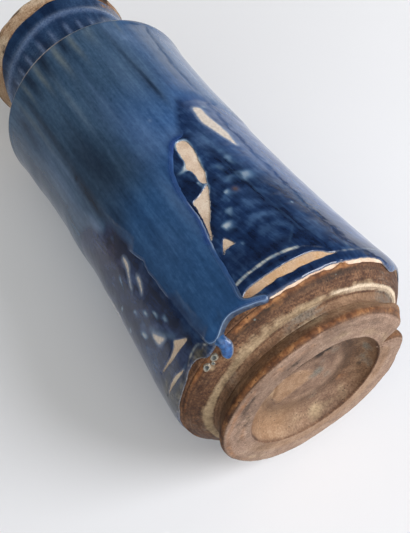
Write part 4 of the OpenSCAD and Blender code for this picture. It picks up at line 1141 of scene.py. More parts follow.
T_LIGHT = [
    (-41, 122, 3.4, 9, 0.85), (31.5, 226, 3.6, 12, 0.45), (9, 140, 6, 18, 0.32), (0, 164, 6, 22, 0.22), (-43, 178, 5, 44, 0.3), (30, 190, 6, 30, 0.2), (2, 66, 3, 16, 0.2), (40, 190, 9, 40, 0.25), (15.5, 145.5, 0.8, 1.0, 0.8), (36, 214, 1.3, 1.6, 0.6), (1, 92, 3.4, 18, 0.35),
    # (64, 185) on this line is a painted reflection, the pale sheen along the right flank
    (-37, 165, 1.6, 30, 0.4), (3, 176, 1.0, 26, 0.3), (-46, 160, 4, 24, 0.3), (54, 158, 3, 3, 0.4), (20, 186, 4, 24, 0.25), (64, 185, 9, 48, 0.7), (60, 150, 11, 12, 0.5), (20, 128, 6, 8, 0.3), (3, 128, 8, 9, 0.15), (-12, 76, 8, 14, 0.1), (-10, 180, 1.4, 16, 0.25),
    (105, 160, 5, 30, 0.5), (150, 150, 6, 25, 0.5), (-155, 150, 5, 25, 0.5), (-105, 150, 5, 25, 0.4)]
T_OLIVE = [
    (-14.7, 222, 1.6, 15, 0.95), (-0.6, 222, 1.7, 15, 1.0), (9.6, 224, 1.5, 14, 0.85), (-27, 224, 1.3, 12, 0.7), (37, 229, 1.2, 10, 0.5), (20, 228, 3, 12, 0.4),
    (-36.5, 205, 1.6, 25, 0.5), (-10, 190, 1.6, 22, 0.25), (108, 224, 1.8, 14, 0.8), (130, 224, 1.8, 14, 0.8), (155, 222, 1.7, 14, 0.7),
    (-160, 224, 2, 14, 0.8), (-128, 222, 1.8, 15, 0.8), (-105, 226, 1.5, 12, 0.7)]


def thick_marks(ph, z, s):
    """Colour marks of the opaque glaze; s is the distance in from its edge."""
    a = wrap(ph)
    q, zz = warp(ph, z - 21.0, 0.6, 0.08, 151)
    zz = zz + 21
    front = np.exp(-(wrap(a + 12) / 26.0) ** 4)
    gap = sd_shape(q, zz, PATCH_B)
    firm = crisp(ph, z - 21.0)
    line = np.where(a < -12, ss(55, 60, z) * ss(92, 84, z), 0.8 * ss(54, 60, z) * ss(90, 84, z))
    rim_ = np.exp(-((s - 1.6) / 1.4) ** 2)
    return {"k_dark": np.clip(blobs(q, zz, T_DARK) + 0.5 * blobs(a, z, [(-27.5, 40, 2.4, 14, 1.0), (-28, 62, 1.6, 10, 0.6), (-24, 27, 3, 4, 0.5), (28.9, 190, 1.0, 20, 0.5), (29.8, 164, 1.3, 10, 0.5)]), 0, 1),
            "k_light": np.clip(blobs(q, zz, T_LIGHT) + blobs(a, z, [(34.5, 216, 4, 8, 0.3), (39, 211, 4, 9, 0.32)]), 0, 1),
            "k_olive": np.clip(blobs(q, zz, T_OLIVE), 0, 1), "k_run": front * ss(135, 100, z), "k_edge": s,
            "k_low": ss(44, 24, z) * front, "k_bite": np.clip(np.exp(-((gap + 1.5) / 1.8) ** 2) + 0.6 * rim_ * ss(86, 92, z) * ss(132, 124, z) * (a > 0) * (a < 36), 0, 1),
            # k_hue: its second term, on the right flank above z 140, turns the colour to the blue of the sheen
            # reflected there, a painted reflection
            "k_fade": (1 - firm) * ss(np.where(a < -12, 6.0, np.where(a < 34, 5.0, 9.0)), 0.5, s), "k_line": line * firm, "k_firm": firm, "k_hue": np.clip(ss(192, 136, z) * ss(-10, 10, a) * ss(75, 45, a) + 0.6 * ss(30, 42, a) * ss(85, 70, a) * ss(140, 165, z), 0, 1)}


def thick_attrs(ph, t, s):
    d = paint_attrs(ph, t, s)
    d.pop("edge")
    d.update(thick_marks(ph, t + 21.0, s))
    return d


def glaze_matter(name, marks=False):
    m = Mat(name)
    s1 = m.noise(m.coords(0.13, 0.13, 0.012), 1.0, 5, 0.62)
    s2 = m.noise(m.coords(0.75, 0.75, 0.04), 1.0, 3, 0.55)
    curd = m.noise(m.coords(0.55, 0.55, 0.3), 1.0, 5, 0.65)
    tone = m.math("ADD", m.math("MULTIPLY", s1, 0.52), m.math("ADD", m.math("MULTIPLY", s2, 0.18), m.math("MULTIPLY", curd, 0.3)))
    c = m.ramp(tone, [(0.38, lin(44, 67, 92)), (0.5, lin(58, 84, 111)), (0.62, lin(76, 103, 130))])
    c = m.mix(m.attr("k_hue"), c, m.ramp(tone, [(0.38, lin(38, 68, 110)), (0.5, lin(52, 87, 133)), (0.62, lin(70, 106, 152))]))
    c = m.mix(m.attr("k_run"), c, m.ramp(tone, [(0.38, lin(35, 67, 106)), (0.5, lin(46, 83, 127)), (0.62, lin(62, 102, 147))]))
    c = m.mix(m.math("MULTIPLY", m.attr("k_light"), 0.75), c, m.ramp(tone, [(0.38, lin(88, 114, 150)), (0.62, lin(122, 146, 178))]))
    c = m.mix(m.math("MULTIPLY", m.attr("k_dark"), 0.9), c, m.ramp(tone, [(0.38, lin(10, 21, 38)), (0.62, lin(26, 40, 61))]))
    c = m.mix(m.math("MULTIPLY", m.attr("k_olive"), 0.62), c, m.ramp(tone, [(0.38, lin(92, 102, 104)), (0.62, lin(134, 140, 132))]))
    c = m.mix(m.math("MULTIPLY", m.attr("k_low"), 0.22), c, lin(50, 96, 152))
    if marks:
        c = m.mix(m.math("MULTIPLY", m.attr("pale"), 0.6), c, m.ramp(s1, [(0.4, lin(104, 122, 152)), (0.62, lin(158, 168, 186))]))
        worn = m.mix(m.attr("tan"), lin(30, 36, 50), m.ramp(curd, [(0.4, lin(74, 54, 42)), (0.6, lin(128, 100, 78))]))
        c = m.mix(m.math("MULTIPLY", m.attr("line"), m.span(curd, 0.36, 0.6, 0.45, 1.0)), c, worn)
        c = m.mix(m.attr("chip"), c, m.ramp(curd, [(0.35, lin(196, 186, 120)), (0.65, lin(232, 224, 176))]))
    else:
        c = m.mix(m.math("MULTIPLY", m.attr("k_bite"), 0.7), c, m.ramp(tone, [(0.4, lin(15, 40, 100)), (0.6, lin(30, 70, 146))]))
        lw = m.math("ADD", m.attr("k_edge"), m.math("MULTIPLY", m.math("SUBTRACT", curd, 0.5), 1.0))
        c = m.mix(m.math("MULTIPLY", m.span(lw, 3.2, 1.0), m.math("MULTIPLY", m.attr("k_run"), 0.4)), c, lin(24, 50, 96))
        # painted shade on the steep side of the run's lower edge
        side = m.math("MULTIPLY", m.span(m.attr("k_edge"), 1.0, 0.55), m.attr("k_low"))
        c = m.mix(m.math("MULTIPLY", side, 0.8), c, m.ramp(curd, [(0.4, lin(28, 42, 64)), (0.6, lin(70, 78, 84))]))
        glint = m.math("MULTIPLY", m.math("MULTIPLY", m.span(m.attr("k_edge"), 0.75, 1.0), m.span(m.attr("k_edge"), 1.4, 1.1)), m.attr("k_low"))
        c = m.mix(m.math("MULTIPLY", glint, m.span(s1, 0.35, 0.6, 0.3, 0.8)), c, lin(140, 166, 190))
        pl = m.math("MULTIPLY", m.span(lw, 0.85, 0.35), m.math("MULTIPLY", m.span(s1, 0.4, 0.6, 0.35, 1.0), m.attr("k_line")))
        c = m.mix(m.math("MULTIPLY", pl, 0.7), c, lin(150, 168, 182))
        thin, _, _ = paint_color(m)
        fade = m.math("ADD", m.attr("k_fade"), m.math("MULTIPLY", m.math("SUBTRACT", s1, 0.5), m.math("MULTIPLY", m.span(m.attr("k_fade"), 0.0, 0.3), 0.7)), clamp=True)
        c = m.mix(fade, c, thin)
    wave = m.noise(m.coords(0.09, 0.09, 0.03), 1.0, 3, 0.5)
    ripple = m.noise(m.coords(0.36, 0.36, 0.2), 1.0, 1, 0.5)
    dull = m.attr("line") if marks else m.math("MULTIPLY", m.span(m.attr("k_edge"), 3.2, 0.8), m.attr("k_firm"))
    rough = m.math("ADD", m.span(curd, 0.3, 0.7, 0.07, 0.13), m.math("MULTIPLY", dull, 0.6 if marks else 0.3))
    return m.surface(c, rough, m.bump(m.math("ADD", wave, m.math("MULTIPLY", ripple, 0.04)), 0.4, 0.5), spec=0.65)


opaque_mat = glaze_matter("opaque_glaze")
edge_mat = glaze_matter("shoulder_glaze", True)
JOIN = 102.0      # height (t) where the coat passes into the run


def thick_keep(ph, t):
    return np.minimum(edge_sd(ph, t), t - (JOIN - 6.0))


def thick_height(ph, t, s):
    return h_thick(ph, t, np.maximum(edge_sd(ph, t), 0)) - 0.07 * ss(JOIN + 3, JOIN - 3, t) - 0.5 * ss(JOIN - 2, JOIN - 6, t) * front_of(ph)


def front_of(ph):
    return ss(-56, -52, wrap(ph)) * ss(46, 42, wrap(ph))


def run_keep(ph, t):
    return np.minimum(edge_sd(ph, t), (JOIN + 6.0) - t)


def run_height(ph, t, s):
    return h_thick(ph, t, np.maximum(edge_sd(ph, t), 0)) - 0.07 * ss(JOIN - 3, JOIN + 3, t) - 0.5 * ss(JOIN + 2, JOIN + 6, t)


def with_edge(fn):
    def f(ph, t, s):
        return fn(ph, t, np.maximum(edge_sd(ph, t), 0))
    return f


thick = coat("thick_glaze", ring_cols, np.concatenate([np.arange(94, 134, 1.1), np.arange(134, 206, 2.0), np.arange(206, 211, 0.7)]),
             thick_keep, thick_height, lambda p, t, s: under_thick(p, t) - 0.1, with_edge(thick_attrs), levels=(0.5, 1.3))
piece(thick, opaque_mat, "opaque_glaze", "thick_glaze")

run = coat("glaze_run", np.arange(-54, 46, 0.75), np.concatenate([np.arange(-3, 12, 0.55), np.arange(12, 110, 0.9)]),
           run_keep, run_height, lambda p, t, s: under_thick(p, t) - 0.1, with_edge(thick_attrs), around=False, levels=(0.5, 1.3))
piece(run, opaque_mat, "opaque_glaze", "glaze_run")


# drip
def drip_sd(ph, t):
    q, tt = warp(ph, t, 0.2, 0.4, 171)
    return sd_shape(q, tt, DRIP)


def drip_height(ph, t, s):
    p = spot(ph, t)
    low = under_thick(ph, t) - 0.04
    full = h_thick(ph, t, 6.0 + 0 * t)                      # the run, as if it went on without an edge
    tall = full + lerp(0.12, -0.25, ss(1.2, 4.5, t)) - lerp(0.95, 0.1, ss(-7, 0, t)) + 0.08 * fbm(p * 0.2, 173, 2)
    return low + np.maximum(tall - low, 0.1) * rim(s, 3.6)


def drip_attrs(ph, t, s):
    d = thick_attrs(ph, t, 6.0 + 0 * s)
    d["k_run"] = 1.0 + 0 * ph
    d["drop"] = ss(1.4, -2.0, t)
    d["rim"] = s
    d["k_bite"] = 0 * ph
    d["k_fade"] = 0 * ph
    return d


m = Mat("drip_glaze")
s1 = m.noise(m.coords(0.13, 0.13, 0.012), 1.0, 5, 0.62)
s2 = m.noise(m.coords(0.75, 0.75, 0.04), 1.0, 3, 0.55)
curd = m.noise(m.coords(0.55, 0.55, 0.3), 1.0, 5, 0.65)
tone = m.math("ADD", m.math("MULTIPLY", s1, 0.6), m.math("ADD", m.math("MULTIPLY", s2, 0.2), m.math("MULTIPLY", curd, 0.2)))
c = m.ramp(tone, [(0.38, lin(35, 67, 106)), (0.5, lin(46, 83, 127)), (0.62, lin(62, 102, 147))])
c = m.mix(m.math("MULTIPLY", m.attr("k_low"), 0.22), c, lin(50, 96, 152))
c = m.mix(m.attr("drop"), c, m.ramp(curd, [(0.36, lin(18, 56, 104)), (0.5, lin(26, 76, 134)), (0.64, lin(46, 100, 158))]))
c = m.mix(m.math("MULTIPLY", m.span(m.attr("rim"), 1.0, 0.1), m.math("MULTIPLY", m.attr("drop"), 0.6)), c, m.ramp(curd, [(0.4, lin(84, 96, 104)), (0.6, lin(176, 168, 150))]))
wave = m.noise(m.coords(0.09, 0.09, 0.03), 1.0, 3, 0.5)
drip_mat = m.surface(c, m.math("ADD", m.span(curd, 0.3, 0.7, 0.07, 0.13), m.math("MULTIPLY", m.attr("drop"), 0.2)), m.bump(wave, 0.4, 0.5), spec=0.65)
drip = coat("run_drip", np.arange(-26, -12.5, 0.3), np.arange(-9.5, 8.0, 0.35), drip_sd, drip_height,
            lambda p, t, s: under_thick(p, t) - 0.15, drip_attrs, around=False, levels=(0.5, 1.2, 2.2))
piece(drip, drip_mat, "opaque_glaze", "run_drip")

# beads beside the drip, and a few specks of glaze that fell on the bare heel
BEADS = [(-32.3, -2.4, 2.2, 1.7, 0.9), (-26.6, -2.2, 1.9, 1.7, 0.85), (-29.2, -3.5, 0.9, 1.0, 0.4), (-3.6, -3.2, 0.5, 0.5, 0.35), (36.2, -3.8, 0.4, 0.45, 0.3)]


def bead_d(ph, t):
    """Distance in from the nearest bead's edge, and how far out from its middle, 0 to 1."""
    best, frac, tall = np.full(ph.shape, -9.0), np.ones(ph.shape), np.zeros(ph.shape)
    q, tt = warp(ph, t, 0.5, 0.55, 181)
    for p0, t0, rx, ry, hh in BEADS:
        e = np.sqrt((wrap(q - p0) / rx) ** 2 + ((tt - t0) / ry) ** 2)
        d = (1 - e) * min(rx * 1.05, ry)
        hit = d > best
        best, frac, tall = np.where(hit, d, best), np.where(hit, e, frac), np.where(hit, hh, tall)
    return best, frac, tall


def bead_height(ph, t, s):
    d, e, hh = bead_d(ph, t)
    ring = np.exp(-((e - 0.7) / 0.26) ** 2) * 0.8 + 0.35 * rim(s, 1.0)
    return -0.06 + clay_like(ph, t) + hh * ring * rim(s, 0.5)


def clay_like(ph, t):
    r, z, nr, nz = on_profile(BODY, t)
    return np.maximum(clay_rough(ph, r, z) * ss(21.4, 19.0, z), -0.05)


def bead_attrs(ph, t, s):
    d, e, hh = bead_d(ph, t)
    worn = np.clip(0.7 + 1.2 * fbm(spot(ph, t) * 0.8, 183, 2), 0.1, 1.0)
    return {"ring": worn * np.exp(-((e - 0.78) / 0.2) ** 2), "hole": ss(0.62, 0.25, e)}


m = Mat("bead_glaze")
n2 = m.noise(m.coords(1.1), 1.0, 5, 0.6)
c = m.ramp(n2, [(0.35, lin(92, 96, 92)), (0.65, lin(128, 130, 122))])
c = m.mix(m.math("MULTIPLY", m.attr("ring"), 0.75), c, m.ramp(n2, [(0.35, lin(140, 124, 104)), (0.65, lin(198, 182, 158))]))
c = m.mix(m.math("MULTIPLY", m.attr("hole"), 0.85), c, m.ramp(n2, [(0.35, lin(42, 50, 58)), (0.65, lin(74, 80, 82))]))
bead_mat = m.surface(c, m.span(n2, 0.3, 0.7, 0.1, 0.2), m.bump(n2, 0.06, 0.5), spec=0.5)
beads = coat("glaze_beads", np.arange(-36, 40, 0.22), np.arange(-7.0, 0.4, 0.25), lambda p, t: bead_d(p, t)[0], bead_height,
             lambda p, t, s: clay_like(p, t) - 0.2, bead_attrs, around=False, levels=(0.3,))
piece(beads, bead_mat, "bead_glaze", "glaze_beads")

# ---------------------------------------------------------------------------
# Shoulder and neck
# ---------------------------------------------------------------------------
SH = [(r_wall(224) + 0.3, 224.0), (r_wall(226) + 0.5, 226.0), (r_wall(227.4) + 0.62, 227.4), (r_wall(228.6) + 0.72, 228.6), (r_wall(229.8) + 0.79, 229.8), (r_wall(230.8) + 0.8, 230.8),
      (r_wall(231.5) + 0.7, 231.5), (r_wall(231.9) + 0.46, 231.9), (r_wall(232) + 0.06, 232.2), (r_wall(232) - 0.72, 232.55), (r_wall(232) - 1.9, 233.1), (r_wall(232) - 3.8, 234.1),
      (51.5, 238.2), (48.2, 240.4), (45.4, 242.3), (43.9, 243.6), (43.2, 244.7), (42.9, 246.2)]
SH = chaikin([(float(a), float(b)) for a, b in SH], 1, closed=False)
shoulder_prof = make_profile(SH)
SH_L = float(shoulder_prof[-1, 0])


def streaks(ph, seed, freq=0.5):
    """Fine lines that run up and down, -1 to 1, the same at every height."""
    a = np.radians(ph)
    p = np.stack([np.cos(a) * 30 * freq, np.sin(a) * 30 * freq, 0 * a + seed], -1)
    return fbm(p, seed, 3)


NECK_STREAKS = [(-72, 1.5, 0.5), (-59, 1.6, 0.7), (-46, 1.7, 0.8), (-35, 1.7, 0.9), (-23, 1.8, 1.0), (-8, 1.7, 0.85), (5, 1.8, 0.7), (19, 1.8, 0.8), (30, 1.6, 0.7), (41, 1.7, 0.7),
                (55, 1.8, 0.7), (68, 1.6, 0.8), (84, 1.7, 0.6), (97, 1.8, 0.9), (112, 1.6, 0.7), (127, 1.8, 0.8), (140, 1.6, 0.6), (156, 1.8, 0.9), (170, 1.6, 0.7),
                (-174, 1.8, 0.8), (-158, 1.7, 0.7), (-144, 1.8, 0.9), (-130, 1.6, 0.7), (-116, 1.8, 0.8), (-101, 1.7, 0.7), (-87, 1.6, 0.8)]


def root_streaks(ph):
    v = np.zeros(ph.shape)
    for p0, w, k in NECK_STREAKS:
        v = np.maximum(v, k * np.exp(-np.abs(wrap(ph - p0) / w) ** 2))
    return v


def sh_attrs(ph, t, s):
    z = on_profile(shoulder_prof, t)[1]
    a = wrap(ph)
    d = {k: v for k, v in thick_marks(ph, np.minimum(z, 230.0), 12 + 0 * ph).items() if k[2:] in ("dark", "light", "olive", "run", "low", "hue")}
    d["pale"] = np.clip(root_streaks(ph), 0, 1) * ss(234, 241, z)
    d["line"] = np.exp(-((z - 231.7) / 0.8) ** 2) * np.clip(0.6 + 0.4 * np.exp(-(wrap(a + 10) / 18.0) ** 2) + 0.3 * streaks(ph, 305, 0.3), 0, 1)
    d["tan"] = np.exp(-(wrap(a + 10) / 17.0) ** 2) + 0.6 * np.exp(-(wrap(a - 150) / 30.0) ** 2)
    chip = blobs(a, z, [(38.5, 232.4, 1.4, 0.9, 1.0), (40.2, 233.2, 0.9, 0.8, 0.8), (150, 232.6, 2, 1, 0.9)])
    d["chip"] = np.clip(chip, 0, 1)
    return d


def neck_glaze_matter(name):
    m = Mat(name)
    vec = m.combine(m.attr("cx"), m.attr("cy"), m.math("MULTIPLY", m.attr("up"), 0.12))
    s1 = m.noise(vec, 0.17, 3, 0.5)
    s2 = m.noise(vec, 0.5, 3, 0.5)
    fine = m.noise(m.coords(0.8), 1.0, 5, 0.6)
    tone = m.math("ADD", m.math("MULTIPLY", s1, 0.6), m.math("ADD", m.math("MULTIPLY", s2, 0.1), m.math("MULTIPLY", fine, 0.3)))
    c = m.ramp(tone, [(0.38, lin(26, 46, 76)), (0.5, lin(42, 66, 98)), (0.62, lin(66, 92, 124))])
    # painted shade under the flaring lip, with darker glaze between the streaks low on the neck
    c = m.mix(m.math("MULTIPLY", m.attr("navy"), 0.92), c, m.ramp(tone, [(0.4, lin(12, 31, 57)), (0.6, lin(25, 51, 85))]))
    # pale glaze streaks, and a painted highlight on the raised ring
    c = m.mix(m.math("MULTIPLY", m.attr("pale"), 0.8), c, m.ramp(fine, [(0.35, lin(90, 114, 154)), (0.65, lin(136, 154, 184))]))
    c = m.mix(m.math("MULTIPLY", m.attr("line"), m.span(fine, 0.3, 0.6, 0.35, 0.95)), c, m.ramp(s1, [(0.4, lin(50, 38, 32)), (0.62, lin(112, 84, 62))]))
    c = m.mix(m.attr("bare"), c, m.ramp(fine, [(0.35, lin(86, 54, 34)), (0.65, lin(150, 110, 78))]))
    wave = m.noise(vec, 0.2, 3, 0.5)
    return m.surface(c, m.span(fine, 0.3, 0.7, 0.14, 0.26), m.bump(m.math("ADD", wave, m.math("MULTIPLY", fine, 0.08)), 0.35, 0.5), spec=0.6)


neck_mat = neck_glaze_matter("neck_glaze")
all_cols = np.linspace(-180, 180, 280, endpoint=False)


def sh_outer(ph, t, s):
    z = on_profile(shoulder_prof, t)[1]
    p = spot(ph, t)
    return (-0.5 + 0.5 * rim(s, 1.2)) + 0.05 * fbm(p * 0.2, 311, 2) + 0.25 * root_streaks(ph) * ss(236, 241, z)


sh_rows = np.concatenate([np.linspace(0, 6.2, 11), np.arange(6.4, 10.6, 0.2), np.linspace(10.8, SH_L, 30)])
shoulder = coat("shoulder_glaze", all_cols, sh_rows, lambda p, t: np.minimum(t - 0.2, SH_L - 0.2 - t) + 0 * p,
                sh_outer, lambda p, t, s: 0 * p - 0.65, sh_attrs, prof=shoulder_prof)
piece(shoulder, edge_mat, "opaque_glaze", "shoulder_glaze")

_nt = np.linspace(0, 1, 60)
NK = [(42.2 + 0.05, 245.4)] + [(42.2 - 0.9 * math.sin(math.pi * min(1, 1.6 * q)) + 5.1 * q ** 2.6, 246 + 42 * q) for q in _nt]
NK += [(47.7, 289.2), (48.1, 290.6), (48.45, 291.6)]
neck_prof = make_profile(NK)
NK_L = float(neck_prof[-1, 0])


NECK_TOP = [(-180, 284), (-150, 281), (-120, 275), (-95, 273), (-71, 274.6), (-59, 277.2), (-44, 281.2), (-39, 282.2), (-27, 283.2), (-13, 283.8), (2, 283.6), (17, 285.3),
            (40, 286), (70, 285.5), (95, 284), (120, 282), (150, 285)]


def neck_top(ph):
    z = curve_round(ph, NECK_TOP)
    return np.interp(z, neck_prof[:, 2], neck_prof[:, 0]) + 0.35 * streaks(ph, 321, 0.25) + 0.25 * streaks(ph, 325, 0.8)


def neck_bead(ph, z):
    """A soft raised ring where the neck begins to flare."""
    at = 271 + 2.6 * ss(-30, 18, wrap(ph)) * ss(160, 120, wrap(ph))
    return np.exp(-((z - at) / 2.2) ** 2)


def nk_attrs(ph, t, s):
    z = on_profile(neck_prof, t)[1]
    a = wrap(ph)
    # the raised ring from neck_bead is lightened as a painted highlight; the streaks at the root are pale glaze
    pale = root_streaks(ph) * ss(269, 261, z) * 0.9 + 0.6 * neck_bead(ph, z)
    # painted shade under the flaring lip, all round; low on the neck, darker glaze between the pale streaks
    navy = ss(274, 278, z) * ss(34, 18, a) * ss(-110, -80, a) + 0.7 * ss(276, 280, z) * (np.abs(a - 140) < 60) + 0.35 * ss(262, 256, z) * (1 - root_streaks(ph)) * ss(252, 258, z)
    bare = blobs(a, z, [(64, 281, 3.2, 1.6, 1.0), (71, 282.4, 3.4, 1.4, 0.9), (76, 280.4, 2.2, 1.2, 0.9), (67, 277.6, 1.6, 1.0, 0.7), (-122, 273, 4, 1.6, 0.8), (150, 281, 5, 1.4, 0.7)])
    return {"pale": np.clip(pale, 0, 1), "navy": np.clip(navy, 0, 1), "line": 0.85 * ss(1.2, 0.15, s) * (z > 262), "bare": np.clip(bare, 0, 1),
            "cx": np.cos(np.radians(ph)) * 30, "cy": np.sin(np.radians(ph)) * 30, "up": t}


neck_glaze = coat("neck_glaze", all_cols, np.linspace(0, NK_L, 70), lambda p, t: np.minimum(t - 0.05, neck_top(p) - t),
                  lambda p, t, s: -0.03 + 0.6 * rim(s, 1.2) + 0.45 * neck_bead(p, on_profile(neck_prof, t)[1]) + 0.22 * root_streaks(p) * ss(269, 258, on_profile(neck_prof, t)[1]),
                  lambda p, t, s: 0 * p - 0.1, nk_attrs, prof=neck_prof)
piece(neck_glaze, neck_mat, "painted_glaze", "neck_glaze")

neck_line = [(37.0, 246.0)] + [(42.15 - 0.9 * math.sin(math.pi * min(1, 1.6 * q)) + 5.1 * q ** 2.6, 246 + 42 * q) for q in np.linspace(0, 1, 30)]
neck_line += [(47.7, 289.2), (48.1, 290.4), (48.4, 291.4), (48.5, 292.2), (48.3, 293.0), (47.7, 293.6), (46.8, 293.95), (45.6, 294.0), (44.3, 293.9),
              (43.2, 293.5), (42.3, 292.8), (41.6, 291.8), (40.6, 290.2), (39.4, 288.2), (38.3, 286.4), (37.5, 284.6), (37.05, 283.0), (37.0, 275), (37, 260)]


def lip_disp(ph, r, z, s):
    p = spot(ph, z, r)
    w = ss(286, 290, z) * (r > 38)
    h = w * (0.25 * fbm(p * 0.08, 331, 2) + 0.12 * fbm(p * 0.4, 333, 3) - 0.25)
    chips = np.clip(fbm(spot(ph, 0 * z, 48) * 0.09, 335, 3) - 0.22, 0, 1)
    return h - w * 1.2 * chips, 0 * ph, 0 * ph


def lip_marks(ph, r, z, s):
    a = wrap(ph)
    band = np.exp(-((z - 290.6) / 0.8) ** 2) * (r > 45)
    low = ss(1.6, 0.2, np.abs(z - curve_round(ph, NECK_TOP) - 0.6)) * (r > 40)
    rust = 0.55 * band + 0.55 * low + 0.2 * np.exp(-((z - 293.9) / 0.5) ** 2) * (r > 44)
    rust += np.where(r > 40, blobs(a, z, [(-62, 284, 5, 3, 0.5), (-74, 279, 6, 3, 0.4), (-30, 288, 8, 2, 0.25), (66, 288, 12, 3, 0.6), (80, 286, 8, 3, 0.5), (150, 289, 14, 2, 0.4)]), 0)
    dark = 0.3 * np.exp(-((z - 291.2) / 0.5) ** 2) * (r > 45) + np.where(r > 40, blobs(a, z, [(-64, 283, 3, 1.6, 0.4), (70, 289, 8, 2, 0.5), (64, 287, 3, 1.4, 0.4)]), 0)
    p = spot(ph, z, r)
    worn = 0.5 * ss(0.0, 0.3, fbm(p * 0.085, 361, 3)) * (r > 40)
    dark = dark + (0.42 * ss(0.08, 0.34, fbm(p * 0.13, 365, 3)) + 0.2 * ss(0.1, 0.35, fbm(p * 0.4, 367, 2))) * (r > 40)
    return {"rust": rust, "pale": 0.35 * (r > 40) * np.exp(-((z - 287) / 2.5) ** 2), "dark": dark, "cream": worn,
            "grey": 0.2 * (r < 42) * (z > 283) + 0.42 * ss(292, 293.2, z) * (r > 44)}


neck = revolve("neck", neck_line, 320, lip_disp, clay_attrs(lip_marks), True)
piece(neck, lip_clay, "lip_clay", "neck")

# lining
def r_in(z):
    return r_wall(z) - 8.1


inner = [(0, 21.0), (0.6, 21.0), (30, 21.0), (50.6, 21.05), (52.4, 22.0), (54.2, 25.0), (float(r_in(30.4)) - 0.02, 30.6)]
inner += [(float(r_in(z)), float(z)) for z in np.arange(40, 226, 10.0)] + [(float(r_in(226.4)), 226.4), (45.0, 231.0), (39.0, 236.5), (37.0, 245.6), (37.0, 282.2)]
inner += [(36.75, 282.9), (36.5, 282.2)] + [(36.5, float(z)) for z in np.arange(281, 246, -1.2)] + [(36.5, 245.6), (36.9, 243), (37.5, 239.5), (38.5, 236.2), (41.4, 233.2), (44.5, 230.4)]
inner += [(float(lerp(44.5, r_in(226) - 0.5, q)), float(lerp(230.4, 226, q))) for q in (0.35, 0.7, 1.0)]
inner += [(float(r_in(z)) - 0.5, float(z)) for z in np.arange(224.5, 31, -1.5)] + [(54.6, 28.0), (53.6, 25.0), (52.0, 22.6), (50.6, 21.7), (48.0, 21.5)]
inner += [(float(r), 21.5) for r in np.arange(46, 1, -1.6)] + [(0.6, 21.5), (0, 21.5)]


def lining_disp(ph, r, z, s):
    p = spot(ph, z, r)
    face = s > 290
    rings = 0.3 * np.sin(2 * np.pi * z / 7.4 + np.radians(ph)) * ss(24, 34, z) * ss(226, 215, z)
    floor_rings = 0.15 * np.sin(2 * np.pi * r / 6 + np.radians(ph)) * (z < 21.8) * ss(2, 8, r)
    h = np.where(face, 0.3 + rings + floor_rings + 0.1 * fbm(p * 0.08, 341, 2), 0)
    bore = (r < 37.2) & (z > 240)
    h = np.where(bore & face, 0.06 * np.sin(2 * np.pi * z / 5.2) - 0.06, h)
    return h * (np.abs(z - 282.6) > 0.5), 0 * ph, 0 * ph


def lining_attrs(ph, r, z, s):
    return {"up": z, "pool": ss(60, 22, z), "edge": ss(279, 282.5, z)}


m = Mat("lining_glaze")
s1 = m.noise(m.coords(0.1, 0.1, 0.012), 1.0, 4, 0.6)
fine = m.noise(m.coords(0.7), 1.0, 5, 0.6)
tone = m.math("ADD", m.math("MULTIPLY", s1, 0.7), m.math("MULTIPLY", fine, 0.3))
c = m.ramp(tone, [(0.36, lin(58, 84, 106)), (0.5, lin(84, 112, 130)), (0.66, lin(122, 146, 156))])
c = m.mix(m.math("MULTIPLY", m.attr("pool"), 0.6), c, lin(40, 66, 96))
c = m.mix(m.math("MULTIPLY", m.attr("edge"), m.span(fine, 0.3, 0.6)), c, lin(150, 128, 104))
lining_mat = m.surface(c, m.span(fine, 0.3, 0.7, 0.14, 0.3), m.bump(fine, 0.1, 0.5), spec=0.5)
lining = revolve("inner_glaze", inner, 160, lining_disp, lining_attrs, False)
piece(lining, lining_mat, "lining_glaze", "inner_glaze")

# Clay that the coats hide keeps its own mesh
for name, mat_ in (("shoulder", clay), ("shoulder_luting", luting), ("neck_luting", luting)):
    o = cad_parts[name]
    o.data.materials.clear()
    o.data.materials.append(mat_)

# ---------------------------------------------------------------------------
# Stage: the jar lies on one pale floor for the camera, and stands on another
# for the views from above
# ---------------------------------------------------------------------------
lay_dir = Vector((math.cos((24 + TURN) * DEG), math.sin((24 + TURN) * DEG), 0))     # up from the lying floor
tilt = math.atan2(64.75 - 59.95, 209.5)
normal = (lay_dir * math.cos(tilt) - Vector((0, 0, 1)) * math.sin(tilt)).normalized()
touch = -lay_dir * 0.06478 + Vector((0, 0, 0.0215)) - normal * 0.0004


across = (right - normal * right.dot(normal)).normalized()
away = (up - normal * up.dot(normal)).normalized()


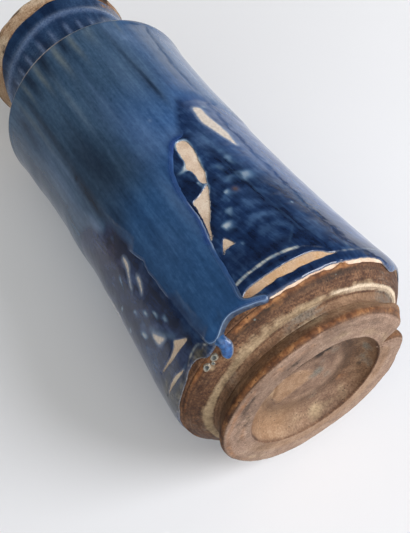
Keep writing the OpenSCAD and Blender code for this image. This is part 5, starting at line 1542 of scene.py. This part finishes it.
def floor_matter(name, color, fall=False, fade=False):
    m = Mat(name)
    n = m.noise(m.coords(0.004), 1.0, 3, 0.5)
    col = m.mix(m.span(n, 0.3, 0.7), color, tuple(min(1.0, q * 1.03) for q in color[:3]) + (1.0,))
    if fall:                # painted light and shade on the floor that only reflections see: lighter toward the lamp, darker out of the picture on the side away from the light, and darker again far out on the lamp side
        tc = m.t.nodes.new("ShaderNodeTexCoord")
        dot = m.t.nodes.new("ShaderNodeVectorMath")
        dot.operation = "DOT_PRODUCT"
        m.t.links.new(tc.outputs["Object"], dot.inputs[0])
        dot.inputs[1].default_value = tuple(across)
        col = m.mix(m.span(dot.outputs["Value"], 0.1, 0.26), col, (1.0, 1.0, 1.0, 1))
        col = m.mix(m.span(dot.outputs["Value"], 0.4, 0.62, 0.0, 0.85), col, (0.05, 0.05, 0.05, 1))
        col = m.mix(m.span(dot.outputs["Value"], 0.0, -0.2, 0.0, 0.2), col, (0.05, 0.05, 0.05, 1))
        col = m.mix(m.span(dot.outputs["Value"], -0.225, -0.34, 0.0, 0.6), col, (0.05, 0.05, 0.05, 1))
    b = m.t.nodes.new("ShaderNodeBsdfDiffuse")
    m.t.links.new(col, b.inputs["Color"])
    face = b.outputs[0]
    if fade:                # the floor runs into the backdrop without a horizon
        tc = m.t.nodes.new("ShaderNodeTexCoord")
        far = m.t.nodes.new("ShaderNodeVectorMath")
        far.operation = "LENGTH"
        m.t.links.new(tc.outputs["Object"], far.inputs[0])
        glow = m.t.nodes.new("ShaderNodeEmission")
        glow.inputs["Color"].default_value = (0.99, 0.994, 0.984, 1)
        glow.inputs["Strength"].default_value = 0.62
        run = m.t.nodes.new("ShaderNodeMixShader")
        m.t.links.new(m.span(far.outputs["Value"], 0.35, 2.0), run.inputs[0])
        m.t.links.new(face, run.inputs[1])
        m.t.links.new(glow.outputs[0], run.inputs[2])
        face = run.outputs[0]
    clear = m.t.nodes.new("ShaderNodeBsdfTransparent")
    geo = m.t.nodes.new("ShaderNodeNewGeometry")
    mx = m.t.nodes.new("ShaderNodeMixShader")
    m.t.links.new(geo.outputs["Backfacing"], mx.inputs[0])
    m.t.links.new(face, mx.inputs[1])
    m.t.links.new(clear.outputs[0], mx.inputs[2])
    m.t.links.new(mx.outputs[0], m.out.inputs["Surface"])
    return m.m


def floor(name, at, nrm, size, material):
    q = nrm.to_track_quat("Z", "Y").to_matrix()
    vs = [at + q @ Vector((x * size, y * size, 0)) for x, y in ((-1, -1), (1, -1), (1, 1), (-1, 1))]
    me = bpy.data.meshes.new(name)
    me.from_pydata([tuple(v) for v in vs], [], [(0, 1, 2, 3)])
    me.materials.append(material)
    o = bpy.data.objects.new(name, me)
    bpy.context.scene.collection.objects.link(o)
    return o


lying = floor("lying_floor", touch, normal, 6.0, floor_matter("lying_floor", (0.846, 0.845, 0.847, 1)))
lying.visible_diffuse = False
lying.visible_glossy = False
lying.visible_shadow = False
mirrored = floor("mirrored_floor", touch, normal, 6.0, floor_matter("mirrored_floor", (0.80, 0.82, 0.87, 1), True))
mirrored.visible_camera = False
mirrored.visible_diffuse = False
mirrored.visible_shadow = False
standing = floor("standing_floor", Vector((0, 0, -0.0002)), Vector((0, 0, 1)), 6.0, floor_matter("standing_floor", (0.80, 0.80, 0.81, 1), fade=True))
standing.visible_diffuse = False
standing.visible_glossy = False
standing.visible_shadow = False

# light
centre = Vector((0, 0, 0.14))


def area(name, direction, distance, size, watts, color=(1, 1, 1)):
    d = direction.normalized()
    l = bpy.data.lights.new(name, "AREA")
    l.shape = "DISK"
    l.size = size
    l.energy = watts
    l.color = color
    o = bpy.data.objects.new(name, l)
    bpy.context.scene.collection.objects.link(o)
    o.location = centre + d * distance
    o.rotation_mode = "QUATERNION"
    o.rotation_quaternion = (-d).to_track_quat("-Z", "Y")
    return o


area("key", normal * 0.62 + across * 0.78 - away * 0.22, 1.5, 0.9, 19.6, (0.93, 0.938, 1.0))
area("fill_back", turn((-0.97, -0.1, 0.25)), 1.6, 1.0, 9.0, (1, 1, 1))
area("fill_top", turn((0.12, -0.1, 0.98)), 1.5, 0.8, 9.0, (1, 1, 1))

# the room: dark overhead, a pale backdrop rising from the floor, a large soft window behind the camera
world = bpy.data.worlds.new("studio")
bpy.context.scene.world = world
world.use_nodes = True
wt = world.node_tree
wt.nodes.clear()
wcoord = wt.nodes.new("ShaderNodeTexCoord")


def w_dot(v):
    n = wt.nodes.new("ShaderNodeVectorMath")
    n.operation = "DOT_PRODUCT"
    wt.links.new(wcoord.outputs["Generated"], n.inputs[0])
    n.inputs[1].default_value = tuple(v.normalized())
    return n.outputs["Value"]


def w_span(x, a, b, lo=0.0, hi=1.0):
    n = wt.nodes.new("ShaderNodeMapRange")
    n.interpolation_type = "SMOOTHSTEP"
    wt.links.new(x, n.inputs["Value"])
    for key, val in (("From Min", a), ("From Max", b), ("To Min", lo), ("To Max", hi)):
        n.inputs[key].default_value = val
    return n.outputs["Result"]


def w_math(op, a, b):
    n = wt.nodes.new("ShaderNodeMath")
    n.operation = op
    for k, q in enumerate((a, b)):
        if isinstance(q, bpy.types.NodeSocket):
            wt.links.new(q, n.inputs[k])
        else:
            n.inputs[k].default_value = q
    return n.outputs[0]


height = w_math("ADD", w_dot(normal), w_span(w_dot(across), 0.12, 0.5, 0.0, 0.24))
low_sky = w_math("MULTIPLY", w_span(height, 0.42, 0.08), w_span(w_dot(across * 0.9 + away * 0.3), -0.55, 0.5, 0.03, 1.0))
window = w_span(w_dot(-away * 0.82 + normal * 0.5 + across * 0.1), 0.45, 0.92, 0.0, 1.5)
glow = w_math("ADD", w_math("ADD", low_sky, window), 0.06)
bg = wt.nodes.new("ShaderNodeBackground")
bg.inputs["Color"].default_value = (0.99, 0.994, 0.984, 1)
path = wt.nodes.new("ShaderNodeLightPath")
seen = w_math("MULTIPLY", path.outputs["Is Camera Ray"], 0.62)
glow = w_math("ADD", w_math("MULTIPLY", glow, w_math("SUBTRACT", 1.0, path.outputs["Is Camera Ray"])), seen)
wt.links.new(glow, bg.inputs["Strength"])
wout = wt.nodes.new("ShaderNodeOutputWorld")
wt.links.new(bg.outputs[0], wout.inputs["Surface"])
bpy.context.scene.view_settings.view_transform = "Standard"
bpy.context.scene.view_settings.look = "None"
